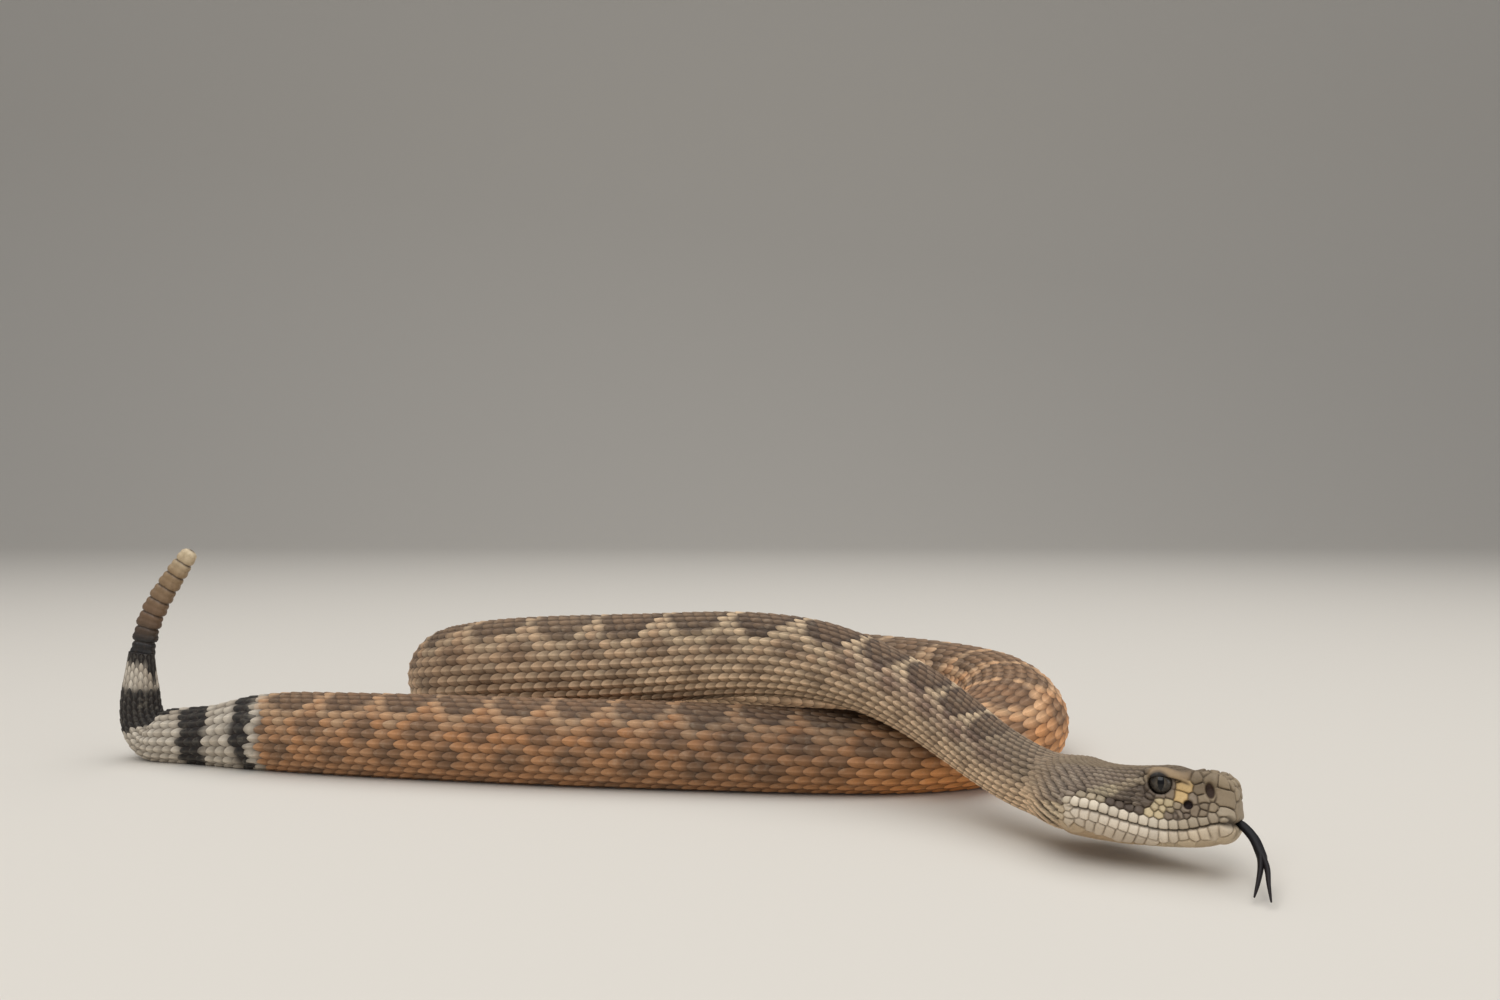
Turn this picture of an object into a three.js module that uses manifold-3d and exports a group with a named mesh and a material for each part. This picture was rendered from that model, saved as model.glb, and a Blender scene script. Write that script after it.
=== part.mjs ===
import * as THREE from 'three';
import Module from 'manifold-3d';

const wasm = await Module();
wasm.setup();

// A western diamondback rattlesnake, life size, in millimetres, +Z up. The animal looks along +X.
// The body is one swept form that follows its belly line and is parted into lengths by thin cuts.

const ORIGIN = { x: -48.4, y: 354.6 };          // moves the drawing's frame to the middle of the footprint
const CUT = 0.3;                                // gap left where the body is parted
const RING_SIDES = 16;
const RING_STEP = 8;
const BELLY_FLAT = 0.16;                        // share of the height taken off under the belly
const HEAD_LENGTH = 50;                         // snout to the first cut behind the head

// Belly line from the snout to the end of the tail: x, y, height of the belly above the floor.
const BELLY_LINE = [
  [128.0, 236.5, 6.5], [110.8, 247.8, 6.0], [93.8, 259.5, 5.6], [77.5, 271.0, 6.0], [68.8, 284.5, 8.4],
  [61.5, 298.0, 11.8], [51.5, 311.0, 18.0], [37.0, 324.0, 24.4], [17.0, 336.0, 26.8], [-4.0, 346.0, 25.0],
  [-27.0, 355.0, 21.2], [-51.0, 364.0, 18.5], [-75.0, 373.0, 16.0], [-97.0, 385.5, 12.0], [-112.0, 406.0, 6.5],
  [-114.0, 432.0, 1.0], [-100.0, 455.0, 0.0], [-75.0, 464.0, 0.0], [-48.0, 461.0, 0.0], [-21.0, 452.0, 0.0],
  [6.0, 441.0, 0.0], [32.0, 430.0, 0.0], [57.0, 417.0, 0.0], [79.0, 398.5, 0.0], [90.0, 372.0, 0.0],
  [84.0, 347.0, 0.0], [64.0, 332.0, 0.0], [38.0, 328.0, 0.0], [9.0, 329.0, 0.0], [-22.0, 332.0, 0.0],
  [-54.0, 335.5, 0.0], [-88.0, 341.0, 0.0], [-120.0, 346.5, 0.0], [-146.0, 352.0, 0.0], [-166.0, 356.5, 0.0],
  [-181.0, 360.0, 0.0], [-192.0, 362.0, 0.0], [-201.5, 363.5, 0.0], [-209.2, 365.0, 7.5], [-210.8, 365.5, 17.5],
  [-210.0, 366.0, 27.0], [-208.8, 366.0, 36.0], [-207.6, 366.0, 45.0]];

// Distance from the snout, height and width of the body.
const BODY_SIZES = [
  [0, 16.0, 18.6], [50, 16.0, 18.8], [62, 16.2, 18.6], [90, 18.4, 21.4], [108, 20.0, 24.0], [130, 23.4, 27],
  [180, 28, 31], [240, 30.5, 34], [300, 32, 36], [380, 33.5, 38], [460, 34, 39], [540, 33, 38.5],
  [575, 29.0, 37.5], [598, 23.4, 37.5], [622, 21.4, 37.2], [645, 22.6, 36], [700, 24.4, 33], [760, 24.5, 31],
  [816, 23.8, 28.5], [832, 22.5, 26], [842, 20.3, 23], [850, 18.3, 20.5], [868, 16.4, 17.5], [880, 14, 14.5],
  [890, 12.4, 12.4], [898, 11.6, 11.2], [904, 10.2, 9.4], [912, 8.2, 7.4]];

// Where the body is parted, by distance from the snout.
const NECK_ENDS = [HEAD_LENGTH, 92, 134];
const TRUNK_ENDS = [134, 186, 240, 290, 326, 362, 420, 482, 538, 578, 618, 672, 730, 786, 834];
const TAIL_ENDS = [834, 866, 886, 911];

// Head rows along the axis from the snout: distance, half width, half width of the crown,
// lowest point, mouth level, top.
const HEAD_ROWS = [
  [-1.3, 3.2, 2.2, 12.2, 14.6, 20.8], [-0.5, 5.0, 3.8, 10.5, 14.4, 22.5], [2.2, 6.8, 5.4, 8.9, 13.7, 23.7],
  [6.0, 7.8, 6.2, 7.6, 12.2, 23.9], [10.0, 8.7, 6.8, 6.9, 11.0, 23.9], [14.0, 9.7, 7.8, 6.4, 10.6, 24.4],
  [18.0, 11.0, 7.8, 6.1, 11.0, 24.0], [23.0, 13.0, 7.9, 5.8, 11.9, 23.3], [28.0, 14.5, 8.4, 5.8, 12.9, 22.9],
  [33.0, 15.1, 8.9, 6.0, 13.4, 22.6], [38.0, 14.4, 8.9, 6.3, 13.8, 22.6], [42.0, 12.9, 8.4, 6.7, 14.0, 22.7],
  [46.0, 10.9, 7.4, 7.0, 14.3, 22.9], [HEAD_LENGTH - CUT / 2, 9.4, 6.0, 7.2, 14.6, 23.2]];
const HEAD_ROLL = 10 * Math.PI / 180;           // the head leans to its left, and the lean fades at the neck
const HEAD_DROP = 1.1;
const ROLL_AXIS_HEIGHT = 14;
const MOUTH_CORNER = 33;                        // distance of the mouth's corner from the snout
const EYE = { back: 14.5, side: 7.1, height: 20.9, radius: 2.75, gap: 0.3 };
const NOSTRIL = { back: 3.9, side: 6.1, height: 20.6, radius: 0.9 };
const PIT = { back: 8.3, side: 8.2, height: 16.9, radius: 1.0 };

// Tongue: middle line of the stem from inside the mouth to the fork, then the two tips.
const TONGUE_STEM = [
  [106.4, 250.6, 13.2], [111.0, 247.2, 13.0], [112.9, 243.4, 10.9], [113.2, 239.6, 7.8], [112.3, 236.4, 5.6]];
const TONGUE_TINES = [
  [[112.3, 236.4, 5.6], [110.6, 233.8, 3.6], [107.6, 231.4, 1.5]],
  [[112.3, 236.4, 5.6], [111.9, 232.6, 3.4], [109.4, 228.2, 1.5]]];
const TONGUE_WIDTH = 2.2;
const TONGUE_THICKNESS = 1.1;

// Rattle: middle line from its base to its tip, and the size of each segment from the base on.
const RATTLE_LINE = [
  [-204.8, 366.0, 36.2], [-203.2, 366.0, 44.3], [-199.3, 366.0, 53.0], [-193.6, 366.0, 62.0], [-188.6, 366.0, 69.6]];
const RATTLE_SEGMENTS = [8.2, 8.4, 8.4, 8.3, 8.0, 7.6, 7.1, 6.2];
const RATTLE_FLATNESS = 0.68;                   // side to side size over top to bottom size

const materials = {
  skin: new THREE.MeshStandardMaterial({ name: 'skin', color: 0x8a7358, roughness: 0.75 }),
  eye: new THREE.MeshStandardMaterial({ name: 'eye', color: 0x55524a, roughness: 0.15 }),
  tongue: new THREE.MeshStandardMaterial({ name: 'tongue', color: 0x17151c, roughness: 0.4 }),
  rattle: new THREE.MeshStandardMaterial({ name: 'rattle', color: 0x9a8563, roughness: 0.6 }),
};

const vec = (x, y, z) => new THREE.Vector3(x, y, z);
const place = ([x, y, z]) => vec(x - ORIGIN.x, y - ORIGIN.y, z);

// Uniform cubic B-spline through control rows, sampled finely.
function splineThrough(rows, per = 24) {
  const out = [];
  for (let i = 0; i + 3 < rows.length; i++) {
    for (let k = 0; k < per + (i + 4 === rows.length ? 1 : 0); k++) {
      const t = k / per;
      const w = [(1 - t) ** 3, 3 * t ** 3 - 6 * t * t + 4, -3 * t ** 3 + 3 * t * t + 3 * t + 1, t ** 3];
      const p = vec(0, 0, 0);
      w.forEach((f, j) => p.addScaledVector(place(rows[i + j]), f / 6));
      out.push(p);
    }
  }
  return out;
}

// Smooth monotone interpolation of a table's columns by its first column.
function tableAt(table, s) {
  const n = table.length;
  let i = 0;
  while (i < n - 2 && table[i + 1][0] < s) i++;
  const slope = (k, c) => {
    const d = (j) => (table[j + 1][c] - table[j][c]) / (table[j + 1][0] - table[j][0]);
    if (k === 0) return d(0);
    if (k === n - 1) return d(n - 2);
    const a = d(k - 1), b = d(k);
    return a * b > 0 ? 2 * a * b / (a + b) : 0;
  };
  const h = table[i + 1][0] - table[i][0];
  const t = Math.min(1, Math.max(0, (s - table[i][0]) / h));
  return table[i].slice(1).map((_, c0) => {
    const c = c0 + 1;
    return (2 * t ** 3 - 3 * t * t + 1) * table[i][c] + (t ** 3 - 2 * t * t + t) * h * slope(i, c)
      + (3 * t * t - 2 * t ** 3) * table[i + 1][c] + (t ** 3 - t * t) * h * slope(i + 1, c);
  });
}

// Frames along the belly line: point, direction, side and up. The side stays level where the body
// lies and is carried along without twist where the tail rises.
function bellyFrames() {
  const line = splineThrough(BELLY_LINE);
  const at = [0];
  for (let i = 1; i < line.length; i++) at.push(at[i - 1] + line[i].distanceTo(line[i - 1]));
  const up = vec(0, 0, 1);
  let side = null;
  const frames = line.map((p, i) => {
    const along = line[Math.min(i + 1, line.length - 1)].clone().sub(line[Math.max(i - 1, 0)]).normalize();
    const level = along.clone().cross(up);
    const size = level.length();
    const share = THREE.MathUtils.smoothstep(size, 0.8, 0.92);
    if (side === null) side = level.clone().normalize();
    else {
      const carried = side.clone().addScaledVector(along, -side.dot(along)).normalize();
      side = carried.multiplyScalar(1 - share);
      if (size > 1e-6) side.addScaledVector(level, share / size);
      side.normalize();
    }
    return { s: at[i], p, along, side: side.clone(), up: side.clone().cross(along) };
  });
  return (s) => {
    let i = 0;
    while (i < frames.length - 2 && frames[i + 1].s < s) i++;
    const a = frames[i], b = frames[i + 1];
    const t = Math.min(1, Math.max(0, (s - a.s) / (b.s - a.s)));
    const mix = (k) => a[k].clone().lerp(b[k], t);
    return { p: mix('p'), along: mix('along').normalize(), side: mix('side').normalize(), up: mix('up').normalize() };
  };
}

const frameAt = bellyFrames();

// One ring of the body: an oval with a flat belly that stands on the belly line.
function bodyRing(s) {
  const { p, side, up } = frameAt(s);
  const [height, width] = tableAt(BODY_SIZES, s);
  return Array.from({ length: RING_SIDES }, (_, j) => {
    const a = 2 * Math.PI * j / RING_SIDES;
    const x = Math.sign(Math.sin(a)) * Math.abs(Math.sin(a)) ** 0.92;
    const z = Math.max(0, ((1 + Math.cos(a)) / 2 - BELLY_FLAT / 2) / (1 - BELLY_FLAT / 2));
    return p.clone().addScaledVector(side, x * width / 2).addScaledVector(up, z * height);
  });
}

// Closed solid from rings of equal count, the ends filled as fans round their middle.
function loft(rings) {
  const n = rings[0].length;
  const points = rings.flat();
  const faces = [];
  for (let i = 0; i + 1 < rings.length; i++) {
    for (let j = 0; j < n; j++) {
      const a = i * n + j, b = i * n + (j + 1) % n;
      faces.push([a, b + n, b], [a, a + n, b + n]);
    }
  }
  const middle = (ring) => ring.reduce((m, q) => m.add(q), vec(0, 0, 0)).divideScalar(n);
  const first = points.push(middle(rings[0])) - 1;
  const last = points.push(middle(rings[rings.length - 1])) - 1;
  for (let j = 0; j < n; j++) {
    const k = (j + 1) % n, e = (rings.length - 1) * n;
    faces.push([first, j, k], [last, e + k, e + j]);
  }
  return solid(points, faces);
}

// A manifold solid from points and faces, turned outward if it came inside out.
function solid(points, faces) {
  const build = (list) => new wasm.Manifold(new wasm.Mesh({
    numProp: 3,
    vertProperties: Float32Array.from(points.flatMap((q) => [q.x, q.y, q.z])),
    triVerts: Uint32Array.from(list.flat()),
  }));
  const made = build(faces);
  return made.volume() > 0 ? made : build(faces.map(([a, b, c]) => [a, c, b]));
}

function toMesh(name, form, material) {
  const raw = form.getMesh();
  const geometry = new THREE.BufferGeometry();
  geometry.setAttribute('position', new THREE.BufferAttribute(Float32Array.from(raw.vertProperties), 3));
  geometry.setIndex(new THREE.BufferAttribute(Uint32Array.from(raw.triVerts), 1));
  geometry.computeVertexNormals();
  const mesh = new THREE.Mesh(geometry, material);
  mesh.name = name;
  return mesh;
}

function bodyLength(from, to) {
  const a = from + CUT / 2, b = to - CUT / 2;
  const steps = Math.max(2, Math.round((b - a) / RING_STEP));
  return loft(Array.from({ length: steps + 1 }, (_, i) => bodyRing(a + (b - a) * i / steps)));
}

// The head's own frame: back along the belly line from the snout, side toward the animal's right,
// height above the floor.
function headPoint(back, side, height) {
  const { p, along, side: left, up } = frameAt(Math.max(back, 0));
  const share = 1 - THREE.MathUtils.smoothstep(back, 26, HEAD_LENGTH - 3);
  const roll = HEAD_ROLL * share, rise = height - ROLL_AXIS_HEIGHT;
  const rolledSide = side * Math.cos(roll) - rise * Math.sin(roll);
  const rolledRise = side * Math.sin(roll) + rise * Math.cos(roll);
  return p.clone().addScaledVector(along, Math.min(back, 0)).addScaledVector(left, -rolledSide)
    .addScaledVector(up, ROLL_AXIS_HEIGHT + rolledRise - HEAD_DROP * share - p.z);
}

// One head ring, from the crown down the right side, under the jaw and up the left side.
function headRing([back, half, crown, low, mouth, top]) {
  const wide = (f) => crown + f * (half - crown);
  const right = [
    [crown * 0.55, top - 0.05], [crown, top - 0.7], [wide(0.5), top - 0.42 * (top - mouth)],
    [half, mouth + 1.6], [half * 0.97, mouth - 0.6], [half * 0.86, low + 0.38 * (mouth - low)],
    [half * 0.62, low + 0.3]];
  const outline = [[0, top], ...right, [0, low], ...right.slice().reverse().map(([x, z]) => [-x, z])];
  return outline.map(([x, z]) => headPoint(back, x, z));
}

function sphere(radius, at, segments = 20) {
  return wasm.Manifold.sphere(radius, segments).translate(at.x, at.y, at.z);
}

// Sheet of the mouth's cut, and the upright cut behind the jaw, as one thin solid.
function mouthCut() {
  const rows = [-4, 2, 4.5, 8, 12.5, 18, 24, 29, MOUTH_CORNER].map((back) => {
    const [, , , mouth] = tableAt(HEAD_ROWS, Math.max(back, 0));
    return [back, mouth - 0.15];
  });
  const reach = 20;
  const ring = ([back, mouth]) => [
    headPoint(back, reach, mouth - CUT / 2), headPoint(back, reach, mouth + CUT / 2),
    headPoint(back, -reach, mouth + CUT / 2), headPoint(back, -reach, mouth - CUT / 2)];
  const sheet = loft(rows.map(ring));
  const wall = (back) => [
    headPoint(back, reach, 0), headPoint(back, reach, rows[rows.length - 1][1] + CUT / 2),
    headPoint(back, -reach, rows[rows.length - 1][1] + CUT / 2), headPoint(back, -reach, 0)];
  return sheet.add(loft([wall(MOUTH_CORNER - CUT), wall(MOUTH_CORNER)]));
}

// Rod with an oval section along a line; the sizes run from the first to the last point.
function rod(line, wide, thick, sides = 8) {
  const curve = new THREE.CatmullRomCurve3(line.map(place));
  const steps = 8;
  const rings = Array.from({ length: steps + 1 }, (_, i) => {
    const t = i / steps;
    const p = curve.getPoint(t), along = curve.getTangent(t);
    const side = along.clone().cross(vec(0, 0, 1)).normalize();
    const up = side.clone().cross(along);
    const w = THREE.MathUtils.lerp(wide[0], wide[1], t) / 2;
    const h = THREE.MathUtils.lerp(thick[0], thick[1], t) / 2;
    return Array.from({ length: sides }, (_, j) => {
      const a = 2 * Math.PI * j / sides;
      return p.clone().addScaledVector(side, Math.cos(a) * w).addScaledVector(up, Math.sin(a) * h);
    });
  });
  return loft(rings);
}

const group = new THREE.Group();
group.name = 'western_diamondback_rattlesnake';

// Head and lower jaw
const tongueStem = rod(TONGUE_STEM, [TONGUE_WIDTH, TONGUE_WIDTH * 0.8], [TONGUE_THICKNESS, TONGUE_THICKNESS * 0.9]);
const tongueSlot = rod(TONGUE_STEM.slice(0, 2), [TONGUE_WIDTH + 2 * CUT, TONGUE_WIDTH + 2 * CUT],
  [TONGUE_THICKNESS + 2 * CUT, TONGUE_THICKNESS + 2 * CUT]);
let whole = loft(HEAD_ROWS.map(headRing));
const eyes = [1, -1].map((way) => headPoint(EYE.back, way * EYE.side, EYE.height));
eyes.forEach((at) => { whole = whole.subtract(sphere(EYE.radius + EYE.gap, at)); });
[NOSTRIL, PIT].forEach((hole) => [1, -1].forEach((way) => {
  const at = headPoint(hole.back, way * hole.side, hole.height);
  whole = whole.subtract(sphere(hole.radius, at, 8));
}));
whole = whole.subtract(tongueSlot);
const parted = whole.subtract(mouthCut()).decompose().sort((a, b) => b.volume() - a.volume());
group.add(toMesh('head', parted[0], materials.skin.clone()));
group.add(toMesh('lower_jaw', parted[1], materials.skin.clone()));
eyes.forEach((at, i) => group.add(toMesh(i === 0 ? 'eye_right' : 'eye_left', sphere(EYE.radius, at), materials.eye.clone())));

// Tongue
const tines = TONGUE_TINES.map((line) => rod(line, [TONGUE_WIDTH * 0.62, 0.6], [TONGUE_THICKNESS * 0.9, 0.6]));
const tongue = tongueStem.add(tines[0]).add(tines[1]).subtract(whole);
group.add(toMesh('tongue', tongue.decompose().sort((a, b) => b.volume() - a.volume())[0], materials.tongue.clone()));

// Neck, trunk and tail
const number = (i) => String(i + 1).padStart(2, '0');
const lengths = (name, ends) => ends.slice(1).forEach((to, i) => {
  group.add(toMesh(`${name}_${number(i)}`, bodyLength(ends[i], to), materials.skin.clone()));
});
lengths('neck', NECK_ENDS);
lengths('trunk', TRUNK_ENDS);
lengths('tail', TAIL_ENDS);

// Rattle: each segment a rounded, flattened bell with a groove round its middle
const rattleCurve = new THREE.CatmullRomCurve3(RATTLE_LINE.map(place));
const rattlePitch = 1 / RATTLE_SEGMENTS.length;
const rattleLength = rattleCurve.getLength();
RATTLE_SEGMENTS.forEach((size, i) => {
  const gap = CUT / rattleLength / 2;
  const profile = [[0, 0.7], [0.1, 0.92], [0.36, 1.0], [0.6, 0.92], [0.86, 0.9], [1, 0.7]];
  const rings = profile.map(([f, share]) => {
    const t = rattlePitch * i + gap + (rattlePitch - 2 * gap) * f;
    const p = rattleCurve.getPointAt(t), along = rattleCurve.getTangentAt(t);
    const side = vec(0, 1, 0), up = along.clone().cross(side).normalize();
    return Array.from({ length: 12 }, (_, j) => {
      const a = 2 * Math.PI * j / 12;
      return p.clone().addScaledVector(up, Math.cos(a) * size * share / 2)
        .addScaledVector(side, Math.sin(a) * size * share * RATTLE_FLATNESS / 2);
    });
  });
  group.add(toMesh(`rattle_${number(i)}`, loft(rings), materials.rattle.clone()));
});

export default group;
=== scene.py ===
"""Western diamondback rattlesnake, life size: skin, scales, eyes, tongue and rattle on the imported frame."""
import math

import bpy
import numpy as np
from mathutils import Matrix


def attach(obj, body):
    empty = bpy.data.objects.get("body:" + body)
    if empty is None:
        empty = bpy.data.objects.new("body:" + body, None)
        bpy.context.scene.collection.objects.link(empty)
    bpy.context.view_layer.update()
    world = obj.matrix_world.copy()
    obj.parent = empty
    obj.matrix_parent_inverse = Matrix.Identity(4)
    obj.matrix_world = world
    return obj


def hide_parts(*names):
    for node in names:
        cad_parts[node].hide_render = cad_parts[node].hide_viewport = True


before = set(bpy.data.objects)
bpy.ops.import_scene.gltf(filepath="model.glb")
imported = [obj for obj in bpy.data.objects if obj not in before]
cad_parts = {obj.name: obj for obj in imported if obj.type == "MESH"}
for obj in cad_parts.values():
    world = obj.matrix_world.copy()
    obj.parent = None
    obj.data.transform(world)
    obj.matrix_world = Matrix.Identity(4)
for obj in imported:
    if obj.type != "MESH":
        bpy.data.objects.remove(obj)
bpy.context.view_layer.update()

MM = 0.001

# Driving sizes, millimetres, as in the part's source
ORIGIN = np.array([-48.4, 354.6, 0.0])
BELLY_LINE = np.array([
    [128, 236.5, 6.5], [110.8, 247.8, 6], [93.8, 259.5, 5.6], [77.5, 271, 6], [68.8, 284.5, 8.4],
    [61.5, 298, 11.8], [51.5, 311, 18], [37, 324, 24.4], [17, 336, 26.8], [-4, 346, 25],
    [-27, 355, 21.2], [-51, 364, 18.5], [-75, 373, 16], [-97, 385.5, 12],
    [-112, 406, 6.5], [-114, 432, 1], [-100, 455, 0], [-75, 464, 0],
    [-48, 461, 0], [-21, 452, 0], [6, 441, 0], [32, 430, 0], [57, 417, 0],
    [79, 398.5, 0], [90, 372, 0], [84, 347, 0], [64, 332, 0], [38, 328, 0],
    [9, 329, 0], [-22, 332, 0], [-54, 335.5, 0], [-88, 341, 0],
    [-120, 346.5, 0], [-146, 352, 0], [-166, 356.5, 0], [-181, 360, 0],
    [-192, 362, 0], [-201.5, 363.5, 0], [-209.2, 365, 7.5], [-210.8, 365.5, 17.5],
    [-210, 366, 27], [-208.8, 366, 36], [-207.6, 366, 45.0]])
# Rows: distance along the belly line, height, width
BODY_SIZES = np.array([
    [0, 16.0, 18.6], [50, 16.0, 18.8], [62, 16.2, 18.6], [90, 18.4, 21.4], [108, 20.0, 24.0],
    [130, 23.4, 27], [180, 28, 31], [240, 30.5, 34], [300, 32, 36], [380, 33.5, 38], [460, 34, 39],
    [540, 33, 38.5], [575, 29.0, 37.5], [598, 23.4, 37.5], [622, 21.4, 37.2], [645, 22.6, 36],
    [700, 24.4, 33], [760, 24.5, 31], [816, 23.8, 28.5], [832, 22.5, 26], [842, 20.3, 23],
    [850, 18.3, 20.5], [868, 16.4, 17.5], [880, 14, 14.5], [890, 12.4, 12.4], [898, 11.6, 11.2],
    [904, 10.2, 9.4], [912, 8.2, 7.4]])
BELLY_FLAT = 0.16
HEAD_LENGTH = 50.0
BODY_END = 911.0
# Rows: back, half width at the cheek, half width of the crown, lowest, mouth and highest line
HEAD_ROWS = np.array([
    [-1.3, 3.2, 2.2, 12.2, 14.6, 20.8], [-0.5, 5.0, 3.8, 10.5, 14.4, 22.5], [2.2, 6.8, 5.4, 8.9, 13.7, 23.7],
    [6, 7.8, 6.2, 7.6, 12.2, 23.9], [10, 8.7, 6.8, 6.9, 11.0, 23.9], [14, 9.7, 7.8, 6.4, 10.6, 24.4],
    [18, 11.0, 7.8, 6.1, 11.0, 24.0], [23, 13.0, 7.9, 5.8, 11.9, 23.3], [28, 14.5, 8.4, 5.8, 12.9, 22.9],
    [33, 15.1, 8.9, 6.0, 13.4, 22.6], [38, 14.4, 8.9, 6.3, 13.8, 22.6], [42, 12.9, 8.4, 6.7, 14.0, 22.7],
    [46, 10.9, 7.4, 7.0, 14.3, 22.9], [50, 9.4, 6.0, 7.2, 14.6, 23.2]])
HEAD_ROLL = math.radians(10)
HEAD_DROP = 1.1
ROLL_AXIS_HEIGHT = 14.0
# Where the snout starts to round, how far, how blunt, its middle height
SNOUT_ROUND = (2.2, 3.7, 2.6, 16.4)
EYE = dict(back=14.5, side=7.1, height=20.9, radius=2.75)
NOSTRIL = (3.9, 20.6)
PIT = (8.3, 16.9)
# Depth of the scales over the skin, and the lowest a scale reaches over the floor
COAT, FLOOR_GAP = 0.6, 0.02
# Bake map: distance before the snout, length of the whole map, size of a scale's patch, margin
MAP_LEAD, MAP_LENGTH, PATCH, MAP_EDGE = 2, 930, 0.003, 0.0005
# Shares of a turn at which a ring is measured
TURNS = np.arange(721) / 720


def smooth(x, a, b):
    """Smooth step from 0 at a to 1 at b."""
    t = np.clip((np.asarray(x, float) - a) / (b - a), 0, 1)
    return t * t * (3 - 2 * t)


def hill(x, width):
    """Bell curve of x, 1 at zero and fading over width."""
    return np.exp(-(np.asarray(x, float) / width) ** 2)


def unit(v):
    """Each row of three scaled to length 1."""
    return v / np.maximum(np.linalg.norm(v, axis=-1, keepdims=True), 1e-12)


def mix(a, b, t):
    """a where t is 0, b where t is 1, for colours or points of three numbers each."""
    t = np.asarray(t)[..., None]
    return a * (1 - t) + b * t


def coats(ground, *layers):
    """Ground colour with each layer, a colour and its share, laid over it in turn."""
    for colour, share in layers:
        ground = mix(ground, colour, share)
    return ground


def grid(rows, cols):
    """Two arrays that repeat the rows' and the columns' values over a grid."""
    return np.meshgrid(rows, cols, indexing="ij")


def circle(count):
    """Angles of equal steps round a circle."""
    return np.arange(count) / count * 2 * np.pi


def running(steps):
    """Running length along the last axis, from zero, of steps of these sizes."""
    return np.concatenate([np.zeros(steps.shape[:-1] + (1,)), np.cumsum(steps, axis=-1)], -1)


def read_line(want, at, values):
    """Rows of three numbers read at the wanted places of a table."""
    return np.stack([np.interp(want, at, values[:, k]) for k in range(3)], -1)


def table_at(table, s):
    """Monotone cubic interpolation of a table's columns by its first column, for an array of s."""
    s = np.asarray(s, float)
    x = table[:, 0]
    i = np.clip(np.searchsorted(x, s) - 1, 0, len(x) - 2)
    h = x[i + 1] - x[i]
    t = np.clip((s - x[i]) / h, 0, 1)
    out = []
    for y in table[:, 1:].T:
        d = np.diff(y) / np.diff(x)
        inner = np.where(d[:-1] * d[1:] > 0, 2 * d[:-1] * d[1:] / (d[:-1] + d[1:] + 1e-12), 0)
        m = np.concatenate([d[:1], inner, d[-1:]])
        out.append((2 * t**3 - 3 * t**2 + 1) * y[i] + (t**3 - 2 * t**2 + t) * h * m[i]
                   + (3 * t**2 - 2 * t**3) * y[i + 1] + (t**3 - t**2) * h * m[i + 1])
    return out


def belly_frames():
    """Uniform cubic B-spline through the belly rows, with a side that stays level where the body lies."""
    rows = BELLY_LINE - ORIGIN
    t = np.arange(24)[:, None] / 24
    w = [(1 - t) ** 3, 3 * t**3 - 6 * t**2 + 4, -3 * t**3 + 3 * t**2 + 3 * t + 1, t**3]
    line = [sum(w[j] * rows[i + j] for j in range(4)) / 6 for i in range(len(rows) - 3)]
    line = np.vstack(line + [((rows[-3] + 4 * rows[-2] + rows[-1]) / 6)[None]])
    at = running(np.linalg.norm(np.diff(line, axis=0), axis=1))
    ahead = np.vstack([line[1:], line[-1:]]) - np.vstack([line[:1], line[:-1]])
    along = unit(ahead)
    level = np.cross(along, [0.0, 0.0, 1.0])
    size = np.linalg.norm(level, axis=1)
    share = smooth(size, 0.8, 0.92)
    side = np.zeros_like(line)
    side[0] = level[0] / size[0]
    for i in range(1, len(line)):
        carried = unit(side[i - 1] - along[i] * (side[i - 1] @ along[i]))
        side[i] = unit(carried * (1 - share[i]) + level[i] / size[i] * share[i])
    return at, line, along, side, np.cross(side, along)


LINE_AT, LINE, LINE_ALONG, LINE_SIDE, LINE_UP = belly_frames()


def along_line(s):
    """Point, direction, side and up of the belly line at distances s."""
    s = np.asarray(s, float)
    p = read_line(s, LINE_AT, LINE)
    along, side, up = [unit(read_line(s, LINE_AT, a)) for a in (LINE_ALONG, LINE_SIDE, LINE_UP)]
    return p + along * np.minimum(s, 0)[..., None], along, side, up


def body_form(s, v):
    """Oval ring with a flat belly, standing on the belly line; v runs from the spine down the right side."""
    p, _, side, up = along_line(s)
    height, width = table_at(BODY_SIZES, s)
    a = 2 * np.pi * v
    x = -np.sign(np.sin(a)) * np.abs(np.sin(a)) ** 0.92 * width / 2
    z = np.clip(((1 + np.cos(a)) / 2 - BELLY_FLAT / 2) / (1 - BELLY_FLAT / 2), 0, None) * height
    return p + side * x[..., None] + up * z[..., None]


def head_place(u, side, height):
    """Puts head coordinates (back, to the right, up) on the belly line, rolling the head as it lies."""
    p, _, left, up = along_line(u)
    share = 1 - smooth(u, 26, HEAD_LENGTH - 3)
    roll, rise = HEAD_ROLL * share, height - ROLL_AXIS_HEIGHT
    across = side * np.cos(roll) - rise * np.sin(roll)
    above = ROLL_AXIS_HEIGHT + side * np.sin(roll) + rise * np.cos(roll) - HEAD_DROP * share - p[..., 2]
    return p - left * across[..., None] + up * above[..., None]


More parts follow.
